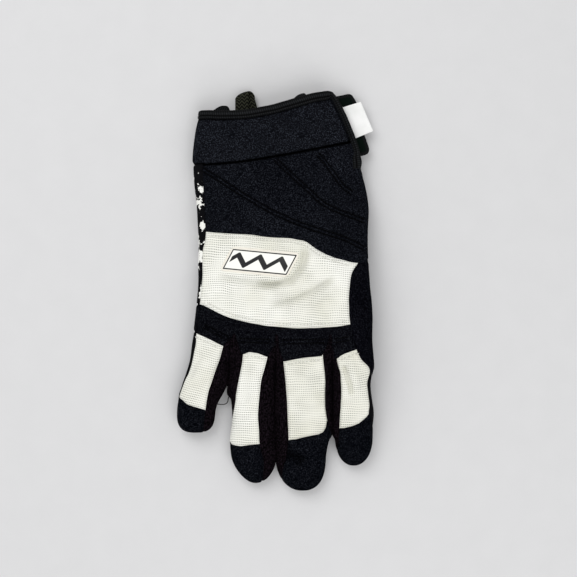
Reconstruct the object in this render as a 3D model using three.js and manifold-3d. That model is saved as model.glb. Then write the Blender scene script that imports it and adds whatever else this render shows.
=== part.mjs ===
// A snowboard glove for the right hand, lying palm down with its cuff towards +Y and its
// thumb folded under the palm. Every soft panel is a wall cut from one hollow skin, which is
// the union of a hand tube, four finger tubes and a thumb tube.
// Millimetres, +Z up. The origin is the middle of the footprint, on the surface below.
import * as THREE from "three";
import { mergeVertices } from "three/addons/utils/BufferGeometryUtils.js";
import Module from "manifold-3d";

const wasm = await Module();
wasm.setup();

// Driving dimensions
const WALL = 2.2; // softshell cloth with its lining
const SEAM_GAP = 0.3; // clear space between two sewn panels
const PRESS = 0.8; // how far the weight of the glove flattens what lies on the surface
const SIDE_SEAM = -2.5; // the back panels end this far below the middle of the thickness
const BINDING_WIDTH = 5.2; // edge tape round the mouth of the cuff
const VENT_BINDING_WIDTH = 3.6; // the same tape down the slanted vent edge
const BINDING_LIFT = 0.7; // how far the tape stands out from the cuff
const BADGE_LIFT = 1.2; // thickness of the moulded badge
const TAB_THICK = 1.9; // closure tab
const TAB_LOW = -2.6; // its underside, above the middle of the glove's thickness
const LABEL_THICK = 0.9; // folded woven label
const WEBBING_THICK = 1.3; // pull loop tape
const WEBBING_WIDTH = 12.2;
const REACH = 90; // cutting blocks reach this far up, down and past the mouth
const OUT = 80; // and this far to each side
const OUT_Y = 140;
const HAND_SIDES = 32; // points round the hand tube
const FINGER_SIDES = 16; // points round a finger tube
const LINING_SHARE = 0.75; // the unseen inner skin has this share of those points
const HAND_ROUND = 2.7; // exponent of the hand's oval section
const FINGER_ROUND = 2.3; // exponent of a finger's oval section

// Hand tube: its left and right edges in plan, from the mouth of the cuff to the knuckles.
const HAND = [
  { y: 126, left: -46.0, right: 38.5 },
  { y: 111, left: -47.1, right: 46.0 },
  { y: 99, left: -49.2, right: 51.0 },
  { y: 87, left: -50.8, right: 54.2 },
  { y: 77, left: -51.2, right: 54.4 },
  { y: 65, left: -50.4, right: 55.8 },
  { y: 50, left: -48.4, right: 56.9 },
  { y: 31, left: -47.1, right: 57.0 },
  { y: 5, left: -46.8, right: 58.0 },
  { y: -14, left: -49.0, right: 59.0 },
  { y: -30, left: -51.3, right: 59.4 },
];
// Half the thickness of the stuffed tube at each place along the glove.
const HALF = [
  { y: 126, half: 8.6 },
  { y: 96, half: 9.0 },
  { y: 60, half: 10.0 },
  { y: 20, half: 10.6 },
  { y: -10, half: 10.0 },
  { y: -40, half: 8.6 },
  { y: -80, half: 8.0 },
  { y: -110, half: 7.2 },
];
// How far the folded thumb lifts the index side of the glove off the surface.
const LIFT = [
  { y: 84, rise: 0 },
  { y: 55, rise: 2 },
  { y: 34, rise: 6.5 },
  { y: 14, rise: 11.3 },
  { y: -5, rise: 12.4 },
  { y: -46, rise: 12.0 },
  { y: -66, rise: 8.4 },
  { y: -90, rise: 2.4 },
  { y: -106, rise: 0 },
];
const FORK_TOP = -24; // the side strips between the fingers start here, under the band
const LIFT_FROM_X = -30;
const LIFT_TO_X = 45;

// Finger tubes: plan edges from inside the hand to the tip. Past the shoulder the tube closes
// in a dome of the given exponent. panel is the strip of the finger's back between the side
// strips, tipLine is where the pale back ends and the dark cap starts.
const FINGERS = [
  {
    name: "little",
    axis: { top: -42, tip: -49 },
    shoulder: -76, tip: -87.9, dome: 2.5,
    edges: [
      { y: -4, left: -42.0, right: -33.0, half: 5.5 },
      { y: -18, left: -48.6, right: -29.4, half: 8.2 },
      { y: -31, left: -51.6, right: -28.4, half: 8.6 },
      { y: -43, left: -53.4, right: -29.6, half: 8.5 },
      { y: -58.6, left: -58.2, right: -31.8, half: 8.2 },
      { y: -68, left: -60.2, right: -35.7, half: 8.0 },
      { y: -76, left: -60.8, right: -38.5, half: 7.8 },
      { y: -88, left: -60.8, right: -39.2, half: 7.4 },
    ],
    panel: [
      { y: -24, left: -49.4, right: -29.0 },
      { y: -34.4, left: -51.2, right: -32.2 },
      { y: -42, left: -52.2, right: -34.7 },
      { y: -54, left: -55.8, right: -38.3 },
      { y: -64, left: -58.9, right: -41.5 },
      { y: -75, left: -62.5, right: -43.4 },
      { y: -90, left: -63.0, right: -45.0 },
    ],
    tipLine: [
      { x: -63.0, y: -66.4 },
      { x: -56.0, y: -71.0 },
      { x: -49.6, y: -73.5 },
      { x: -41.0, y: -75.0 },
    ],
  },
  {
    name: "ring",
    axis: { top: -14.5, tip: -14.5 },
    shoulder: -100, tip: -118.2, dome: 2.0,
    edges: [
      { y: -6, left: -20.0, right: -8.0, half: 6.0 },
      { y: -18, left: -26.4, right: -1.8, half: 8.2 },
      { y: -34, left: -28.4, right: -0.9, half: 8.6 },
      { y: -54, left: -29.4, right: -1.5, half: 8.4 },
      { y: -63, left: -29.2, right: -1.7, half: 8.3 },
      { y: -70, left: -27.6, right: -1.8, half: 8.2 },
      { y: -80, left: -27.2, right: -1.6, half: 8.0 },
      { y: -93, left: -28.5, right: -1.0, half: 7.8 },
      { y: -100, left: -27.7, right: -0.8, half: 7.6 },
      { y: -119, left: -25.8, right: 0.6, half: 7.2 },
    ],
    panel: [
      { y: -30, left: -20.6, right: -4.0 },
      { y: -40, left: -21.4, right: -4.9 },
      { y: -55, left: -23.2, right: -8.6 },
      { y: -68, left: -25.2, right: -9.9 },
      { y: -77, left: -27.6, right: -10.5 },
      { y: -86, left: -31.0, right: -10.0 },
      { y: -96, left: -31.0, right: -9.8 },
      { y: -106, left: -31.0, right: -7.4 },
      { y: -122, left: -31.0, right: -8.4 },
    ],
    tipLine: [
      { x: -32.0, y: -93.0 },
      { x: -25.4, y: -96.6 },
      { x: -19.0, y: -96.6 },
      { x: -7.0, y: -95.2 },
    ],
  },
  {
    name: "middle",
    axis: { top: 16.5, tip: 16.5 },
    shoulder: -104, tip: -123.7, dome: 2.3,
    edges: [
      { y: -6, left: 8.0, right: 26.0, half: 6.0 },
      { y: -18, left: 1.6, right: 32.4, half: 8.2 },
      { y: -34, left: 0.3, right: 33.8, half: 8.6 },
      { y: -54, left: -0.4, right: 34.1, half: 8.4 },
      { y: -68, left: -0.9, right: 34.3, half: 8.2 },
      { y: -86, left: -0.6, right: 34.5, half: 8.0 },
      { y: -93, left: -0.1, right: 32.8, half: 7.8 },
      { y: -104, left: 0.0, right: 30.3, half: 7.5 },
      { y: -124, left: 1.8, right: 31.0, half: 7.2 },
    ],
    panel: [
      { y: -34, left: 3.9, right: 28.6 },
      { y: -44, left: 4.4, right: 30.2 },
      { y: -55, left: 5.4, right: 31.0 },
      { y: -68, left: 6.5, right: 30.8 },
      { y: -80, left: 7.0, right: 32.3 },
      { y: -93, left: 7.4, right: 37.0 },
      { y: -102, left: 6.2, right: 37.0 },
      { y: -114, left: 3.1, right: 37.0 },
      { y: -127, left: 1.0, right: 37.0 },
    ],
    tipLine: [
      { x: 4.0, y: -94.0 },
      { x: 14.9, y: -91.8 },
      { x: 28.0, y: -89.2 },
      { x: 32.2, y: -86.6 },
      { x: 38.0, y: -84.0 },
    ],
  },
  {
    name: "index",
    axis: { top: 47, tip: 47 },
    shoulder: -91, tip: -108.5, dome: 2.15,
    edges: [
      { y: -6, left: 40.5, right: 52.5, half: 6.0 },
      { y: -18, left: 35.6, right: 57.2, half: 8.2 },
      { y: -34, left: 34.7, right: 58.7, half: 8.6 },
      { y: -58, left: 34.9, right: 57.8, half: 8.4 },
      { y: -68, left: 35.2, right: 58.3, half: 8.2 },
      { y: -80, left: 35.5, right: 59.5, half: 8.0 },
      { y: -90, left: 36.6, right: 59.6, half: 7.8 },
      { y: -109, left: 36.8, right: 59.2, half: 7.2 },
    ],
    panel: [
      { y: -30, left: 36.4, right: 47.6 },
      { y: -38, left: 37.2, right: 50.2 },
      { y: -45, left: 38.8, right: 54.6 },
      { y: -50, left: 39.8, right: 57.6 },
      { y: -62, left: 40.3, right: 57.0 },
      { y: -75, left: 39.7, right: 58.2 },
      { y: -90, left: 38.6, right: 62.5 },
      { y: -111, left: 35.0, right: 62.5 },
    ],
    tipLine: [
      { x: 34.0, y: -85.8 },
      { x: 47.1, y: -85.3 },
      { x: 53.3, y: -82.8 },
      { x: 63.0, y: -76.0 },
    ],
  },
];

// Thumb tube, folded under the palm. mid is the height of its own middle.
const THUMB = {
  name: "thumb",
  shoulder: -34, tip: -51.5, dome: 2.4,
  edges: [
    { y: 54, left: 29.0, right: 43.0, half: 4.6, mid: 10.6 },
    { y: 42, left: 29.0, right: 50.0, half: 5.4, mid: 7.8 },
    { y: 28, left: 30.6, right: 55.4, half: 6.0, mid: 6.1 },
    { y: 10, left: 32.4, right: 58.0, half: 6.0, mid: 5.7 },
    { y: -15, left: 33.8, right: 59.2, half: 5.9, mid: 5.6 },
    { y: -34, left: 35.0, right: 59.4, half: 5.8, mid: 5.5 },
    { y: -52, left: 36.0, right: 59.6, half: 5.6, mid: 5.4 },
  ],
};

// Seam lines and edges in plan, each from the little-finger side or the mouth onwards.
const CUFF_TOP = [
  { x: -60, y: 111.0 },
  { x: -44, y: 111.3 },
  { x: -25, y: 111.4 },
  { x: -14, y: 112.8 },
  { x: 8, y: 118.0 },
  { x: 21, y: 121.6 },
  { x: 31, y: 123.4 },
  { x: 34.6, y: 122.8 },
];
const VENT_EDGE = [
  { x: 34.6, y: 122.8 },
  { x: 37.2, y: 119.6 },
  { x: 43.6, y: 107.6 },
  { x: 48.6, y: 96.0 },
  { x: 51.6, y: 87.0 },
  { x: 52.8, y: 80.5 },
  { x: 52.9, y: 75.6 },
];
const CUFF_SEAM = [
  { x: -62, y: 78.4 },
  { x: -38, y: 78.2 },
  { x: -16, y: 80.3 },
  { x: 15, y: 85.6 },
  { x: 45, y: 91.7 },
];
const BACK_LEFT = [
  { x: -45.3, y: 79 },
  { x: -44.6, y: 60 },
  { x: -42.8, y: 37.4 },
];
const KNUCKLE_TOP = [
  { x: -42.8, y: 37.4 },
  { x: -16, y: 35.0 },
  { x: 8, y: 33.3 },
  { x: 18, y: 30.8 },
  { x: 25, y: 25.7 },
  { x: 38, y: 20.6 },
  { x: 50.8, y: 17.7 },
];
const KNUCKLE_RIGHT = [
  { x: 50.8, y: 17.7 },
  { x: 48, y: 10.5 },
  { x: 46.2, y: -4 },
  { x: 46.4, y: -21.4 },
];
const KNUCKLE_BOTTOM = [
  { x: 46.4, y: -21.4 },
  { x: 30, y: -24.0 },
  { x: 12, y: -24.4 },
  { x: -8, y: -22.6 },
  { x: -28, y: -17.5 },
  { x: -46.6, y: -9.0 },
];
const KNUCKLE_LEFT = [
  { x: -46.6, y: -9.0 },
  { x: -45.2, y: 8 },
  { x: -45.0, y: 24 },
  { x: -42.8, y: 37.4 },
];
// Lower edge of the knuckle band: scallops over the fingers, notches between them.
const BAND_BOTTOM = [
  { x: -60, y: -22.0 },
  { x: -41, y: -29.5 },
  { x: -32.2, y: -34.4 },
  { x: -25.6, y: -27.5 },
  { x: -21.4, y: -39.2 },
  { x: -16.5, y: -37.2 },
  { x: -11, y: -38.0 },
  { x: -5, y: -40.6 },
  { x: 0.4, y: -32.0 },
  { x: 4.4, y: -43.6 },
  { x: 15, y: -41.4 },
  { x: 28.8, y: -40.4 },
  { x: 33.8, y: -30.0 },
  { x: 37.8, y: -41.9 },
  { x: 43, y: -39.6 },
  { x: 50.0, y: -37.2 },
];
// The side panel runs down the index side and ends in a point beside the index finger.
const SIDE_TOP = 19.6;
const SIDE_BOTTOM = [
  { x: 50.0, y: -37.2 },
  { x: 54.0, y: -43.9 },
  { x: 58.0, y: -48.6 },
  { x: 59.0, y: -53.0 },
  { x: 66.0, y: -53.0 },
];
const BADGE = [
  { x: -28.7, y: 27.0 },
  { x: -34.6, y: 12.7 },
  { x: 7.9, y: 8.2 },
  { x: 13.8, y: 24.1 },
];
const BADGE_CORNER = 2.4; // length cut off each side by a rounded corner
const TAB = [
  { x: 33.0, y: 120.6 },
  { x: 45.0, y: 121.6 },
  { x: 48.6, y: 117.2 },
  { x: 54.4, y: 97.0 },
  { x: 57.8, y: 87.2 },
  { x: 53.2, y: 84.0 },
  { x: 45.0, y: 84.0 },
];
const LABEL = [
  { x: 34.4, y: 111.4 },
  { x: 53.2, y: 117.0 },
  { x: 60.8, y: 98.8 },
  { x: 44.0, y: 92.2 },
];
const LOOP = { left: -25.2, foot: 96, top: 121.7, lean: 2.0, under: -5.0 };

const CLOTH = {
  softshell: { color: 0x17181c, roughness: 0.86, metalness: 0 },
  knit: { color: 0xe5e6da, roughness: 0.9, metalness: 0 },
  jersey: { color: 0x100e11, roughness: 0.95, metalness: 0 },
  suede: { color: 0x141416, roughness: 0.8, metalness: 0 },
  tape: { color: 0x1a1b1d, roughness: 0.7, metalness: 0 },
  webbing: { color: 0x15170f, roughness: 0.8, metalness: 0 },
  label: { color: 0xf2f3ef, roughness: 0.55, metalness: 0 },
  badge: { color: 0xf4f3ec, roughness: 0.4, metalness: 0 },
  fastener: { color: 0x0d1211, roughness: 0.95, metalness: 0 },
};

// A named column of a table at y, on a smooth cubic through the rows. Rows run towards -Y.
function columnAt(table, name, y) {
  const last = table.length - 1;
  if (y >= table[0].y) return table[0][name];
  if (y <= table[last].y) return table[last][name];
  const i = table.findIndex((row) => row.y <= y) - 1;
  const slope = (k) => {
    const [a, b] = [table[Math.max(k - 1, 0)], table[Math.min(k + 1, last)]];
    return (b[name] - a[name]) / (b.y - a.y);
  };
  const [from, to] = [table[i], table[i + 1]];
  const span = to.y - from.y;
  const t = (y - from.y) / span;
  return (
    from[name] * (1 + 2 * t) * (1 - t) ** 2 +
    slope(i) * span * t * (1 - t) ** 2 +
    to[name] * t * t * (3 - 2 * t) +
    slope(i + 1) * span * t * t * (t - 1)
  );
}

// Height of the middle of the glove's thickness over a point of the plan.
function middle(x, y) {
  const across = THREE.MathUtils.smoothstep(x, LIFT_FROM_X, LIFT_TO_X);
  return columnAt(HALF, "half", y) - PRESS + columnAt(LIFT, "rise", y) * across;
}

const roundPower = (value, exponent) => Math.sign(value) * Math.abs(value) ** exponent;

// A closed manifold from any three.js geometry.
function solidFrom(geometry) {
  const bare = geometry.index ? geometry.toNonIndexed() : geometry.clone();
  bare.deleteAttribute("normal");
  bare.deleteAttribute("uv");
  const merged = mergeVertices(bare, 1e-4);
  return new wasm.Manifold(
    new wasm.Mesh({
      numProp: 3,
      vertProperties: new Float32Array(merged.attributes.position.array),
      triVerts: new Uint32Array(merged.index.array),
    }),
  );
}

// A tube of oval sections in planes of constant y. grow moves its skin out, or in if negative.
// edges gives left, right and half; from its shoulder to its tip the tube closes in a dome.
function tubeSolid(tube, grow, steps) {
  const { edges, shoulder, dome, round } = tube;
  const sides = grow < 0 ? tube.sides * LINING_SHARE : tube.sides;
  const tip = tube.tip - grow;
  const start = edges[0].y + (tube.openAtStart && grow < 0 ? REACH : grow);
  const rings = [{ y: start, close: 1 }];
  for (const y of steps) rings.push({ y, close: 1 });
  for (const turn of grow < 0 ? [35, 65] : [26, 48, 64, 77]) {
    const t = Math.sin(THREE.MathUtils.degToRad(turn));
    rings.push({ y: shoulder + (tip - shoulder) * t, close: (1 - t ** dome) ** (1 / dome) });
  }
  const positions = [];
  const place = (y, close, angle) => {
    const left = columnAt(edges, "left", y) - grow;
    const right = columnAt(edges, "right", y) + grow;
    const half = columnAt(tube.halves ?? edges, "half", y) + grow;
    const x = (left + right) / 2 + ((right - left) / 2) * close * roundPower(Math.cos(angle), 2 / round);
    const mid = edges[0].mid === undefined ? middle(x, y) : columnAt(edges, "mid", y);
    return [x, y, mid + half * close * roundPower(Math.sin(angle), 2 / round)];
  };
  for (const { y, close } of rings) {
    for (let k = 0; k < sides; k++) positions.push(...place(y, close, (2 * Math.PI * k) / sides));
  }
  const ends = [rings[0], { y: tip, close: 0 }].map(({ y }) => place(y, 0, 0));
  const startPoint = positions.length / 3;
  positions.push(...ends[0], ...ends[1]);
  const faces = [];
  for (let k = 0; k < sides; k++) {
    const next = (k + 1) % sides;
    for (let r = 0; r + 1 < rings.length; r++) {
      const [a, b] = [r * sides + k, r * sides + next];
      faces.push(a, b, a + sides, b, b + sides, a + sides);
    }
    const last = (rings.length - 1) * sides;
    faces.push(startPoint, next, k, startPoint + 1, last + k, last + next);
  }
  const geometry = new THREE.BufferGeometry();
  geometry.setAttribute("position", new THREE.Float32BufferAttribute(positions, 3));
  geometry.setIndex(faces);
  return solidFrom(geometry);
}

// Everything above the middle surface moved up by level.
function above(level) {
  const block = new THREE.BoxGeometry(2 * OUT, 2 * OUT_Y, 1, 5, 11, 1);
  const p = block.attributes.position;
  for (let i = 0; i < p.count; i++) {
    const low = p.getZ(i) < 0;
    p.setZ(i, low ? middle(p.getX(i), p.getY(i)) + level : REACH);
  }
  return solidFrom(block);
}

// An upright prism over a plan outline.
function prism(outline) {
  const shape = new THREE.Shape(outline.map(({ x, y }) => new THREE.Vector2(x, y)));
  const geometry = new THREE.ExtrudeGeometry(shape, { depth: 2 * REACH, bevelEnabled: false });
  return solidFrom(geometry.translate(0, 0, -REACH));
}

// The outline moved outwards by a distance, along the mean normal at each corner.
function grown(outline, distance) {
  const turn = THREE.ShapeUtils.area(outline) > 0 ? 1 : -1;
  return outline.map((point, i) => {
    const before = outline[(i + outline.length - 1) % outline.length];
    const after = outline[(i + 1) % outline.length];
    const normal = (a, b) => new THREE.Vector2(b.y - a.y, a.x - b.x).normalize();
    const [one, two] = [normal(before, point), normal(point, after)];
    const mean = one.clone().add(two).normalize();
    const reach = (turn * distance) / Math.max(mean.dot(one), 0.4);
    return { x: point.x + mean.x * reach, y: point.y + mean.y * reach };
  });
}

// A table of x and y made a smooth line with the given number of steps.
function smooth(table, steps) {
  const curve = new THREE.SplineCurve(table.map(({ x, y }) => new THREE.Vector2(x, y)));
  return curve.getPoints(steps).map(({ x, y }) => ({ x, y }));
}

// A line moved sideways, to its left as it runs.
function beside(line, distance) {
  return line.map((point, i) => {
    const a = line[Math.max(i - 1, 0)];
    const b = line[Math.min(i + 1, line.length - 1)];
    const side = new THREE.Vector2(a.y - b.y, b.x - a.x).setLength(distance);
    return { x: point.x + side.x, y: point.y + side.y };
  });
}

const largest = (solid) => solid.decompose().sort((a, b) => b.volume() - a.volume())[0];

// The skin, outside and inside
const handSteps = [108, 88, 70, 52, 32, 12, -10, -30];
const hand = {
  edges: HAND, halves: HALF, shoulder: -30, tip: -43, dome: 2,
  sides: HAND_SIDES, round: HAND_ROUND, openAtStart: true,
};
const fingers = FINGERS.map((f) => ({ ...f, sides: FINGER_SIDES, round: FINGER_ROUND }));
const thumb = { ...THUMB, sides: FINGER_SIDES, round: FINGER_ROUND };
const fingerSteps = ({ edges, shoulder }) => {
  const rows = edges.slice(1).map((row) => row.y);
  return [...rows.filter((y) => y > shoulder + 4), shoulder];
};
const onSurface = (solid, height) => solid.trimByPlane([0, 0, 1], height);

function gloveSolid(grow) {
  const tubes = [tubeSolid(hand, grow, handSteps)];
  for (const f of fingers) tubes.push(tubeSolid(f, grow, fingerSteps(f)));
  const joined = tubes.reduce((all, tube) => all.add(tube));
  return onSurface(joined, Math.max(0, -grow));
}
const thumbSolid = (grow) => onSurface(tubeSolid(thumb, grow, fingerSteps(thumb)), Math.max(0, -grow));

const outside = gloveSolid(0);
const inside = gloveSolid(-WALL);
const thumbShell = thumbSolid(0).subtract(thumbSolid(-WALL));
const thumbPiece = thumbShell.subtract(gloveSolid(SEAM_GAP));
let rest = outside.subtract(inside).subtract(thumbSolid(SEAM_GAP));

// Cuts a panel out of what is left of the skin, and a seam round it.
function take(outline, level) {
  const region = level === undefined ? prism(outline) : prism(outline).intersect(above(level));
  const panel = largest(rest.intersect(region));
  const cut = prism(grown(outline, SEAM_GAP));
  rest = rest.subtract(level === undefined ? cut : cut.intersect(above(level - SEAM_GAP)));
  return panel;
}

// The mouth of the cuff
const cuffTop = smooth(CUFF_TOP, 14);
const ventEdge = smooth(VENT_EDGE, 9);
const cuffSeam = smooth(CUFF_SEAM, 8);
const lowestVent = ventEdge.at(-1);
const beyondMouth = [
  { x: -OUT, y: cuffTop[0].y },
  ...cuffTop,
  ...ventEdge.slice(1),
  { x: OUT, y: lowestVent.y },
  { x: OUT, y: OUT_Y },
  { x: -OUT, y: OUT_Y },
];
rest = rest.subtract(prism(beyondMouth));

// The edge tape's own skin, thicker than the cuff's on both sides, with some space round it
function tapeSkin(gap) {
  const out = BINDING_LIFT + gap;
  return gloveSolid(out).subtract(gloveSolid(-WALL - out)).subtract(prism(beyondMouth));
}
const mouthLine = [...cuffTop, ...ventEdge.slice(1)];
const tapeInner = [
  ...beside(cuffTop.slice(0, -1), -BINDING_WIDTH),
  ...beside(ventEdge, -VENT_BINDING_WIDTH).slice(2),
];
const tapeRegion = [...mouthLine, ...tapeInner.reverse()];
const binding = largest(tapeSkin(0).intersect(prism(tapeRegion)));
rest = rest.subtract(prism(grown(tapeRegion, SEAM_GAP)));

const cuff = take([
  { x: -OUT, y: cuffSeam[0].y },
  ...cuffSeam,
  { x: lowestVent.x + 2, y: lowestVent.y },
  { x: OUT, y: lowestVent.y - 1 },
  { x: OUT, y: OUT_Y },
  { x: -OUT, y: OUT_Y },
]);

// The back of the hand
const knuckleTop = smooth(KNUCKLE_TOP, 12);
const knuckleRight = smooth(KNUCKLE_RIGHT, 6);
const knuckleBottom = smooth(KNUCKLE_BOTTOM, 10);
const knuckleLeft = smooth(KNUCKLE_LEFT, 6);
const back = take(
  [
    ...smooth(BACK_LEFT, 4),
    ...knuckleTop.slice(1),
    { x: OUT, y: SIDE_TOP },
    { x: OUT, y: cuffSeam.at(-1).y + 4 },
    ...cuffSeam.filter(({ x }) => x > BACK_LEFT[0].x + 2).reverse(),
  ],
  SIDE_SEAM,
);
const knuckle = take(
  [...knuckleTop, ...knuckleRight.slice(1), ...knuckleBottom.slice(1), ...knuckleLeft.slice(1, -1)],
  SIDE_SEAM,
);
const sidePanel = take(
  [...knuckleRight, ...SIDE_BOTTOM, { x: OUT, y: SIDE_BOTTOM.at(-1).y }, { x: OUT, y: SIDE_TOP }],
  SIDE_SEAM,
);
const band = take(
  [
    { x: -OUT, y: knuckleBottom.at(-1).y },
    ...knuckleBottom.slice().reverse(),
    ...BAND_BOTTOM.slice().reverse(),
    { x: -OUT, y: BAND_BOTTOM[0].y },
  ],
  SIDE_SEAM,
);

// The backs and caps of the fingers
const pieces = [];
const place = (name, solid, cloth) => pieces.push({ name, solid, cloth });
for (const f of FINGERS) {
  const leftSide = f.panel.map(({ y, left }) => ({ x: left, y }));
  const rightSide = f.panel.map(({ y, right }) => ({ x: right, y }));
  const strip = prism([...leftSide, ...rightSide.slice().reverse()]);
  const stripCut = prism(grown([...leftSide, ...rightSide.slice().reverse()], SEAM_GAP));
  const beyondTip = [...f.tipLine, { x: f.tipLine.at(-1).x, y: -OUT_Y }, { x: f.tipLine[0].x, y: -OUT_Y }];
  const upper = rest.intersect(strip).intersect(above(SIDE_SEAM));
  place(`finger_back_${f.name}`, largest(upper.subtract(prism(grown(beyondTip, SEAM_GAP)))), "knit");
  place(`fingertip_${f.name}`, largest(upper.intersect(prism(beyondTip))), "softshell");
  rest = rest.subtract(stripCut.intersect(above(SIDE_SEAM - SEAM_GAP)));
}

// Side strips between neighbouring fingers
for (let k = 0; k + 1 < FINGERS.length; k++) {
  const [left, right] = [FINGERS[k], FINGERS[k + 1]];
  const corridor = [
    { x: left.axis.top, y: FORK_TOP },
    { x: right.axis.top, y: FORK_TOP },
    { x: right.axis.tip, y: -OUT_Y },
    { x: left.axis.tip, y: -OUT_Y },
  ];
  place(`fourchette_${left.name}_${right.name}`, take(corridor, SIDE_SEAM), "jersey");
}
const palm = largest(rest);

// A plan outline with its corners rounded, each by a short curve.
function roundedOutline(corners, cut) {
  return corners.flatMap((corner, i) => {
    const here = new THREE.Vector2(corner.x, corner.y);
    const toward = (other) => new THREE.Vector2(other.x, other.y).sub(here).setLength(cut).add(here);
    const from = toward(corners[(i + corners.length - 1) % corners.length]);
    const to = toward(corners[(i + 1) % corners.length]);
    return new THREE.QuadraticBezierCurve(from, here, to).getPoints(3).map(({ x, y }) => ({ x, y }));
  });
}

// Badge on the knuckle panel: a slanted plate that follows the cloth
const badgeSkin = gloveSolid(BADGE_LIFT + SEAM_GAP).subtract(gloveSolid(SEAM_GAP)).intersect(above(0));
const badge = largest(badgeSkin.intersect(prism(roundedOutline(BADGE, BADGE_CORNER))));

// Flat plates that come out of the vent: levels are above the middle surface
const plate = (outline, low, high) => prism(outline).intersect(above(low)).subtract(above(high));
const tab = largest(plate(TAB, TAB_LOW, TAB_LOW + TAB_THICK).subtract(tapeSkin(SEAM_GAP)));
const labelLow = TAB_LOW + TAB_THICK + SEAM_GAP;
const label = largest(plate(LABEL, labelLow, labelLow + LABEL_THICK).subtract(tapeSkin(SEAM_GAP)));

// Pull loop: a tape folded in a hairpin, its legs inside the cuff
function pullLoop() {
  const { left, foot, top, lean, under } = LOOP;
  const radius = WEBBING_THICK + 0.5;
  const shape = new THREE.Shape();
  shape.moveTo(foot, -radius);
  shape.lineTo(top - radius, -radius);
  shape.absarc(top - radius, 0, radius, -Math.PI / 2, Math.PI / 2, false);
  shape.lineTo(foot, radius);
  shape.lineTo(foot, radius - WEBBING_THICK);
  shape.lineTo(top - radius, radius - WEBBING_THICK);
  shape.absarc(top - radius, 0, radius - WEBBING_THICK, Math.PI / 2, -Math.PI / 2, true);
  shape.lineTo(foot, WEBBING_THICK - radius);
  const geometry = new THREE.ExtrudeGeometry(shape, {
    depth: WEBBING_WIDTH, bevelEnabled: false, curveSegments: 6,
  });
  const p = geometry.attributes.position;
  for (let i = 0; i < p.count; i++) {
    const [along, up, across] = [p.getX(i), p.getY(i), p.getZ(i)];
    const y = along + (lean * across) / WEBBING_WIDTH;
    p.setXYZ(i, left + across, y, middle(left, foot) + under + radius + up);
  }
  return solidFrom(geometry);
}

place("wrist_cuff", cuff, "softshell");
place("edge_binding", binding, "tape");
place("back_panel", back, "softshell");
place("knuckle_panel", knuckle, "knit");
place("knuckle_badge", badge, "badge");
place("knuckle_band", band, "softshell");
place("side_panel", sidePanel, "softshell");
place("palm", palm, "suede");
place("thumb", largest(thumbPiece), "suede");
place("closure_tab", tab, "fastener");
place("side_label", label, "label");
place("pull_loop", pullLoop(), "webbing");

const glove = new THREE.Group();
for (const { name, solid, cloth } of pieces) {
  const { vertProperties, triVerts } = solid.getMesh();
  const geometry = new THREE.BufferGeometry();
  geometry.setAttribute("position", new THREE.BufferAttribute(vertProperties, 3));
  geometry.setIndex(new THREE.BufferAttribute(triVerts, 1));
  const mesh = new THREE.Mesh(geometry, new THREE.MeshStandardMaterial(CLOTH[cloth]));
  mesh.name = name;
  glove.add(mesh);
}

export default glove;
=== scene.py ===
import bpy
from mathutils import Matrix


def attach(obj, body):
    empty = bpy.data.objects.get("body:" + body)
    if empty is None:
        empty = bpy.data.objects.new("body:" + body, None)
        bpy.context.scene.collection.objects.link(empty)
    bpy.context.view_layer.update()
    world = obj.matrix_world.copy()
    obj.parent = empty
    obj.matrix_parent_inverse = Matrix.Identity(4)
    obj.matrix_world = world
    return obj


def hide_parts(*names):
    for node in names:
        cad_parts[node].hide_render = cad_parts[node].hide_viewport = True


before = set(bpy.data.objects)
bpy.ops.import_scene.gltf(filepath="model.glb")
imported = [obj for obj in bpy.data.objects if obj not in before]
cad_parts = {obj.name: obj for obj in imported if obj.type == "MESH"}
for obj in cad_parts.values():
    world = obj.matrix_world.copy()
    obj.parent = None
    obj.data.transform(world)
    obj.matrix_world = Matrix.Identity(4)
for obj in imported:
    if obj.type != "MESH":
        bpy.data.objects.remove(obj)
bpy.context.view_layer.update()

from types import SimpleNamespace

import bpy
import numpy as np

# A right-hand snowboard glove that lies palm down, cuff towards +Y, thumb folded under the palm.
# Every panel is a closed sheet of cloth laid on oval tubes, as in the solids. The tables and all
# lengths are millimetres in the frame of the solids; meshes are made in metres.
MM = 0.001
WALL = 1.3  # cloth and lining together, as seen at the mouth
PRESS = 0.8  # how far the glove's weight flattens what lies on the surface
SIDE_SEAM = -2.5  # level of the side seams, from the middle of the thickness
SOFTNESS = 1.2  # how softly two crossing tubes run into each other
FLATTENING = 0.3  # rounds the edge of the flat that lies on the surface
TUCK, TUCK_REACH = 0.9, 1.1  # a panel dips this deep into its seams, over about this width
CUFF_PROUD = 0.5  # the cuff lies over the top of the back panel
WEB_DEPTH = 0.9  # the webs between the fingers lie this far under the band
NARROW = 6.0  # where a panel is narrower than this, its wall and its tuck thin out
WRAP_FROM, WRAP_PACE, WRAP_SOFT = 0.93, 1.7, 0.02  # how a plan line turns down a tube's side
CROWDING = 0.45  # share of cosine spacing in a panel's rows and columns

# Plan edges of the hand tube: y, left, right
HAND = np.array([
    (126, -44.6, 38.5), (111, -46.5, 46.0), (99, -49.2, 51.0), (87, -50.8, 53.4), (77, -51.2, 52.6),
    (70, -50.9, 53.8), (65, -50.5, 55.2), (58, -49.6, 56.6), (50, -48.9, 57.3), (41, -48.4, 56.9),
    (31, -47.9, 56.6), (18, -48.1, 56.6), (5, -48.1, 57.3), (-5, -48.8, 58.5), (-14, -49.8, 59.0),
    (-30, -51.8, 59.4), (-46, -53.6, 58.9),
])
# Half the thickness along the glove: y, half
HALF = np.array([
    (126, 8.6), (96, 9.0), (60, 10.0), (20, 10.6), (-10, 10.0), (-40, 8.6), (-80, 8.0), (-110, 7.2),
])
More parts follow.
